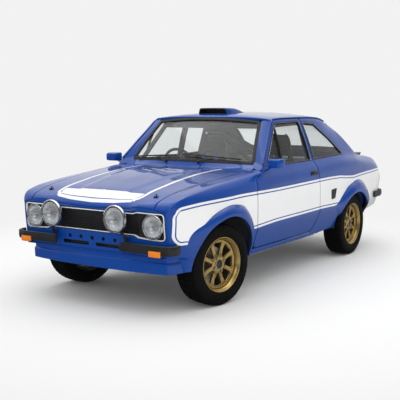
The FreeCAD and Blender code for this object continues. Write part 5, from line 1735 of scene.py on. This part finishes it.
def inflated(shape, cap=7.0, voxel=0.010, pressure=4.0, frames=20):
    """Cushion blown up by a cloth simulation; no point moves further than cap, in mm, or into the shell."""
    mesh = bpy.data.meshes.new("cushion")
    mesh.from_pydata((np.array(shape.points) / 1000).tolist(), [], shape.faces)
    obj = bpy.data.objects.new("cushion", mesh)
    bpy.context.scene.collection.objects.link(obj)
    remesh = obj.modifiers.new("remesh", "REMESH")
    remesh.mode, remesh.voxel_size = "VOXEL", voxel
    solid = evaluated(obj)
    obj.modifiers.clear()
    obj.data = solid
    start = np.array([v.co[:] for v in solid.vertices]) * 1000
    cloth = obj.modifiers.new("cloth", "CLOTH")
    cloth.settings.use_pressure = True
    cloth.settings.uniform_pressure_force = pressure
    cloth.settings.effector_weights.gravity = 0
    for frame_number in range(1, frames + 1):
        bpy.context.scene.frame_set(frame_number)
    moved = evaluated(obj)
    move = np.array([v.co[:] for v in moved.vertices]) * 1000 - start
    obj.modifiers.clear()
    bpy.context.scene.frame_set(1)
    length = np.linalg.norm(move, axis=1)
    end = start + move * np.minimum(1, cap / np.maximum(length, 1e-9))[:, None]
    row = nearest_row(end)
    height = seat_height(end, row)
    low = np.maximum(0.5 - height, 0)
    end[:, 1:] += ROW_NORMAL[row] * low[:, None]
    for vertex, at in zip(solid.vertices, end / 1000):
        vertex.co = at
    obj.modifiers.new("smooth", "SUBSURF").levels = 1
    fine = evaluated(obj)
    out = Shape().add(np.array([v.co[:] for v in fine.vertices]) * 1000,
                      [tuple(f.vertices) for f in fine.polygons])
    bpy.data.objects.remove(obj)
    for left_over in (mesh, solid, moved, fine):
        bpy.data.meshes.remove(left_over)
    return out


def nearest_row(points):
    along, up = (points[:, None, k + 1] - ROWS[None, :, k] for k in (0, 1))
    return np.argmin(np.hypot(along, up), axis=1)


def seat_height(points, row):
    return ((points[:, 1:] - ROWS[row, :2]) * ROW_NORMAL[row]).sum(axis=1)


def pad(first, last, width, rise, channels=(), cross=(), n_across=44):
    """Crowned cushion on the seat's inner face between two points of the spine, with its sewn channels."""
    i0, i1 = int(first * STEPS), int(last * STEPS)
    v = np.linspace(-1, 1, n_across)
    top, low = [], []
    for i in range(i0, i1 + 1):
        u = (i - i0) / (i1 - i0) * 2 - 1
        half = width(ROWS[i, 2]) * (1 - 0.035 * abs(u)**4) * (1 - 0.02 * (1 - u**2))
        edge = (1 - np.abs(v)**5) * (1 - abs(u)**6)
        n = 4 + rise * np.maximum(edge, 0)**0.5 + 1.2 * np.sin(9 * u + 5 * v) * np.maximum(edge, 0)
        top.append([at_seat(ROWS, ROW_NORMAL, i, a * half, b) for a, b in zip(v, n)])
        low.append([at_seat(ROWS, ROW_NORMAL, i, a * half, 0.5) for a in v])
    count = (i1 - i0 + 1) * n_across
    faces = [tuple(reversed(f)) for f in grid_faces(i1 - i0 + 1, n_across)]
    rim = list(range(n_across)) + [k * n_across + n_across - 1 for k in range(1, i1 - i0 + 1)]
    rim += [count - 1 - k for k in range(1, n_across)] + [k * n_across for k in range(i1 - i0 - 1, 0, -1)]
    sides = [(a, b, count + b, count + a) for a, b in zip(rim, rim[1:] + rim[:1])]
    under = [tuple(count + k for k in reversed(f)) for f in faces]
    shape = inflated(Shape().add(np.vstack([np.array(top).reshape(-1, 3), np.array(low).reshape(-1, 3)]),
                                 faces + under + sides))
    points = np.array(shape.points)
    row = nearest_row(points)
    height = seat_height(points, row)
    u = (row - i0) / (i1 - i0) * 2 - 1
    across = np.abs(points[:, 0] - SEAT_X) / width(ROWS[row, 2])
    fade = np.clip((1 - across**5) * (1 - np.abs(u)**6), 0, 1)**0.5 * np.clip((height - 8) / 6, 0, 1)
    groove = sum(8.0 * np.exp(-((across - c) / 0.045)**2) for c in channels)
    groove = groove + sum(7.0 * np.exp(-((u - c) / 0.045)**2) * (across < 0.62) for c in cross)
    points[:, 1:] -= ROW_NORMAL[row] * (groove * fade)[:, None]
    shape.points = [tuple(p) for p in points.tolist()]
    return shape


def bolster(side, first, last, thick, reach):
    """Rolled pad along one wing of the seat."""
    rows, normal, _ = spine(101)
    i0, i1 = int(first * 100), int(last * 100)
    rings = []
    for i in range(i0, i1 + 1):
        u = (i - i0) / (i1 - i0) * 2 - 1
        grow = max(0.0, 1 - abs(u)**5)**0.5
        w, h = rows[i, 2], rows[i, 3] * reach
        t = np.arange(16) * math.pi / 8
        x = side * (w - 4 - thick * 0.5 * (1 - np.cos(t)) * (0.35 + 0.65 * grow))
        n = 10 + (h - 6) * (0.5 + 0.5 * np.sin(t) * (0.5 + 0.5 * grow))
        rings.append([at_seat(rows, normal, i, a, b) for a, b in zip(x, n)])
    rings = np.array(rings)
    return inflated(loft(rings if side > 0 else rings[:, ::-1]), cap=5.0)


def belt_on_seat(x, first, last, lift):
    """Line on the seat's inner face between two points of the spine; x and lift change evenly on the way."""
    span = range(int(first * STEPS), int(last * STEPS) + 1, 3)
    points = []
    for k, i in enumerate(span):
        across, up = ((1 - k / (len(span) - 1)) * a + k / (len(span) - 1) * b for a, b in (x, lift))
        points.append(at_seat(ROWS, ROW_NORMAL, i, across, up))
    return points


def flat_strap(points, half_width, thick=2.4):
    """Webbing whose flat side follows the seat: its width runs along x."""
    p = np.array(points, float)
    d = np.gradient(p, axis=0)
    side = unit(np.array([1.0, 0, 0]) - d * (d[:, :1] / np.maximum((d**2).sum(axis=1)[:, None], 1e-9)))
    up = unit(np.cross(side, d))
    section = ((-half_width, 0), (half_width, 0), (half_width, thick), (-half_width, thick))
    return loft([[q + s * a + n * b for a, b in section] for q, s, n in zip(p, side, up)])


shell = seat_shell()
base = pad(0.03, 0.36, lambda w: w - 42, 26, channels=(0.5,), cross=(-0.45, 0.0, 0.45))
back = pad(0.44, 0.765, lambda w: w - 44, 24, channels=(0.5,), cross=(-0.6, -0.2, 0.2, 0.6))
head = pad(0.865, 0.985, lambda w: w - 14, 20)
wings = [bolster(side, *row) for side in (1, -1) for row in ((0.02, 0.37, 40, 0.86), (0.39, 0.75, 42, 0.9))]
belts = Shape()
for side in (1, -1):
    belts.join(flat_strap(belt_on_seat((side * 34, side * 64), 0.42, 0.80, (52, 40)), 24))
    hip = [(SEAT_X + side * x, station, z)
           for x, station, z in ((186, 1440, 560), (130, 1400, 545), (70, 1362, 520), (18, 1340, 505))]
    belts.join(tube(resample(hip, 12), 23, 8, squash=(23, 1.6)))
belts.join(flat_strap(belt_on_seat((0, 0), 0.20, 0.30, (46, 50)), 22))
buckle = bar(rounded([(-30, -24), (30, -24), (30, 24), (-30, 24)], 16), 0, 12, 3.0, "xy")
buckle = buckle.moved(lambda p: columns(SEAT_X + p[:, 0], 1338 + p[:, 1] * 0.9, 500 + p[:, 2] + p[:, 1] * 0.2))
feet = Shape()
for x in (-150, 135):
    feet.join(bar([(1180, 312), (1520, 312), (1520, 420), (1500, 432), (1200, 432), (1180, 420)],
                  SEAT_X + x - 8, SEAT_X + x + 8, 2.0))
    feet.join(bar([(1170, 310), (1530, 310), (1530, 322), (1170, 322)], SEAT_X + x - 20, SEAT_X + x + 20, 2.0))
for side, flip in (("left", False), ("right", True)):
    def out(shape):
        return shape.mirror() if flip else shape
    out(shell).make("seat_shell_" + side, [BLACK], nodes=["seat_" + side], slot="seat_fabric")
    for name, shape, fill in (("base", base, 0.85), ("back", back, 0.8), ("head", head, 0.8)):
        piece = out(shape).make("seat_" + name + "_pad_" + side, [SEAT], nodes=["seat_" + side],
                                slot="seat_fabric")
    for k, wing_pad in enumerate(wings):
        piece = out(wing_pad).make("seat_bolster_%d_%s" % (k, side), [SEAT_SIDE], nodes=["seat_" + side],
                                   slot="seat_fabric")
    out(belts).make("harness_" + side, [BELT])
    out(buckle).make("harness_buckle_" + side, [CHROME])
    out(feet).make("seat_mount_" + side, [CHASSIS])


# ---------------------------------------------------------------- dash, lining and small fittings
binnacle = bar(rounded([(640, 930), (700, 972), (760, 966), (790, 925), (780, 900), (650, 900)], 16),
               -520, -180, 8.0)
for x in (-430, -350, -270):
    dial = lathe([(0, 0.1), (0, 34), (6, 38), (10, 38), (10, 0.1)], 32)
    binnacle.join(dial.moved(lambda p, x=x: columns(x + p[:, 1], 782 + p[:, 0] * 0.9, 938 + p[:, 2] * 0.8)))
binnacle.make("instrument_binnacle", [DASH])
inner_mirror = pod((0, 1262), (92, 26), 1000, 1024)
inner_mirror.join(tube([(0, 1006, 1286), (0, 985, 1330), (0, 975, 1352)], 6))
inner_mirror.make("inner_mirror", [BLACK])
lever = tube([(0, 905, 500), (4, 925, 600), (6, 935, 690)], 7)
knob = lathe([(-22, 0.1), (-20, 12), (-8, 20), (6, 21), (18, 15), (22, 0.1)], 20)
lever.join(upright(knob, 6, 937, 702))
gaiter = [[(46 * k * math.cos(t), 905 + 60 * k * math.sin(t), z) for t in np.arange(20) * math.pi / 10]
          for k, z in ((1.0, 500), (0.9, 512), (0.95, 518), (0.7, 530), (0.74, 537), (0.45, 552), (0.25, 566))]
lever.join(loft(gaiter))
lever.make("gear_lever", [RUBBER])


def door_card(surface):
    outline = side_opening([(470, 380), (1450, 372), (1560, 520), (1562, 800), (1530, 930), (560, 905),
                            (470, 890)], 20, 20)
    return panel(surface, outline, thick=4.0, radius=2.0, step=30.0)


card = door_card(sunk(UPPER, 59.0))
mirrored_pair("door_card", card, [INNER], body="door")

shelf_wall = bar([(2296, 425), (2308, 425), (2402, 930), (2390, 930)], -566, 566, 3.0)
shelf_wall.make("rear_bulkhead_panel", [LINING])


# ---------------------------------------------------------------- floor, light and camera
BACKDROP = (0.888, 0.888, 0.888, 1)
PLAIN_WHITE = (1, 1, 1, 1)
WORLD_LIGHT = 0.98
TO_FAR_SIDE = (-0.75, 0.66, 0.0)          # direction in the frame, from the car's left front to its right rear
NEAR_SIDE, FAR_SIDE, CEILING = 0.10, 0.86, 0.6    # brightness of the studio in reflections
FLOOR_MIRRORED = (0.10, 0.62)             # brightness of the floor in reflections, right and left of the car
FLOOR_RINGS = (1.2, 2.4, 4.0, 7.0, 12.0, 30.0)
FLOOR_SIDES = 48
FLOOR_FADE = (1.8, 3.8)                   # where the floor turns into plain backdrop, in metres


def stage_floor():
    """Paper floor that keeps the car's shadow and runs out into the backdrop."""
    turn = np.arange(FLOOR_SIDES) * 2 * math.pi / FLOOR_SIDES
    points = [(0, 0, 0)] + [(r * math.cos(t), r * math.sin(t), 0) for r in FLOOR_RINGS for t in turn]
    faces = []
    for j in range(FLOOR_SIDES):
        k = (j + 1) % FLOOR_SIDES
        faces.append((0, 1 + j, 1 + k))
        for i in range(len(FLOOR_RINGS) - 1):
            a, b = 1 + i * FLOOR_SIDES, 1 + (i + 1) * FLOOR_SIDES
            faces.append((a + j, b + j, b + k, a + k))
    mesh = bpy.data.meshes.new("floor")
    mesh.from_pydata(points, [], faces)
    floor = bpy.data.objects.new("floor", mesh)
    bpy.context.scene.collection.objects.link(floor)
    paper, tree = new_material("floor_paper", (0.8, 0.8, 0.8, 1))
    shader = tree.nodes["Principled BSDF"]
    set_inputs(shader, {"Base Color": BACKDROP, "Roughness": 0.9, "Specular IOR Level": 0.1})
    coords = object_coords(tree)
    plain = add_node(tree, "Emission", {"Color": BACKDROP}).outputs["Emission"]
    away = add_node(tree, "VectorMath", {0: coords}, operation="LENGTH").outputs["Value"]
    seen = shader_mix(tree, ramp(tree, away, *FLOOR_FADE, 0, 1), shader.outputs["BSDF"], plain)
    side = add_node(tree, "SeparateXYZ", {"Vector": coords}).outputs["X"]
    level = ramp(tree, side, 0.7, 1.7, *FLOOR_MIRRORED)
    dim = add_node(tree, "Emission", {"Color": BACKDROP, "Strength": level})
    gloss = add_node(tree, "LightPath").outputs["Is Glossy Ray"]
    tree.links.new(shader_mix(tree, gloss, seen, dim.outputs["Emission"]),
                   tree.nodes["Material Output"].inputs["Surface"])
    mesh.materials.append(paper)


def studio_world():
    """Even soft light; in reflections the far side and the ceiling are bright and the near side is dim."""
    world = bpy.data.worlds.new("studio")
    bpy.context.scene.world = world
    world.use_nodes = True
    tree = world.node_tree
    plain = tree.nodes["Background"]
    set_inputs(plain, {"Color": PLAIN_WHITE, "Strength": WORLD_LIGHT})
    seen = add_node(tree, "Background", {"Color": BACKDROP, "Strength": 1.0})
    coords = add_node(tree, "TexCoord").outputs["Generated"]
    up = add_node(tree, "SeparateXYZ", {"Vector": coords}).outputs["Z"]
    away = add_node(tree, "VectorMath", {0: coords, 1: TO_FAR_SIDE}, operation="DOT_PRODUCT").outputs["Value"]
    level = math_node(tree, "ADD", ramp(tree, away, 0.0, 0.7, NEAR_SIDE, FAR_SIDE),
                      ramp(tree, up, 0.45, 0.85, 0, CEILING))
    mirrored = add_node(tree, "Background", {"Color": PLAIN_WHITE, "Strength": level})
    path = add_node(tree, "LightPath").outputs
    lit = shader_mix(tree, path["Is Glossy Ray"], plain.outputs["Background"], mirrored.outputs["Background"])
    tree.links.new(shader_mix(tree, path["Is Camera Ray"], lit, seen.outputs["Background"]),
                   tree.nodes["World Output"].inputs["Surface"])


def area_light(name, at, aim, size, power):
    light = bpy.data.lights.new(name, "AREA")
    light.shape, light.size, light.size_y = "RECTANGLE", size[0], size[1]
    light.energy = power
    obj = bpy.data.objects.new(name, light)
    bpy.context.scene.collection.objects.link(obj)
    obj.location = at
    obj.rotation_euler = (Vector(aim) - Vector(at)).to_track_quat("-Z", "Y").to_euler()


stage_floor()
studio_world()
area_light("overhead", (0.3, -0.3, 5.4), (0, 0, 0.4), (6.5, 8.0), 110)
area_light("front_fill", (4.0, -7.5, 3.6), (0, -0.4, 0.5), (4.0, 3.0), 35)

# Solved from the photo: place in metres, turn and tilt in degrees, lens and sensor in millimetres
CAMERA_AT, CAMERA_YAW, CAMERA_PITCH, CAMERA_LENS = (3.587, -5.953, 1.4307), 33.29, -6.82, 67.93
camera = bpy.data.cameras.new("camera")
camera.sensor_width, camera.lens = 36.0, CAMERA_LENS
camera_object = bpy.data.objects.new("camera", camera)
bpy.context.scene.collection.objects.link(camera_object)
camera_object.location = CAMERA_AT
yaw, pitch = math.radians(CAMERA_YAW), math.radians(CAMERA_PITCH)
ahead = Vector((-math.sin(yaw) * math.cos(pitch), math.cos(yaw) * math.cos(pitch), math.sin(pitch)))
camera_object.rotation_euler = ahead.to_track_quat("-Z", "Y").to_euler()
bpy.context.scene.camera = camera_object
bpy.context.scene.view_settings.view_transform = "Standard"
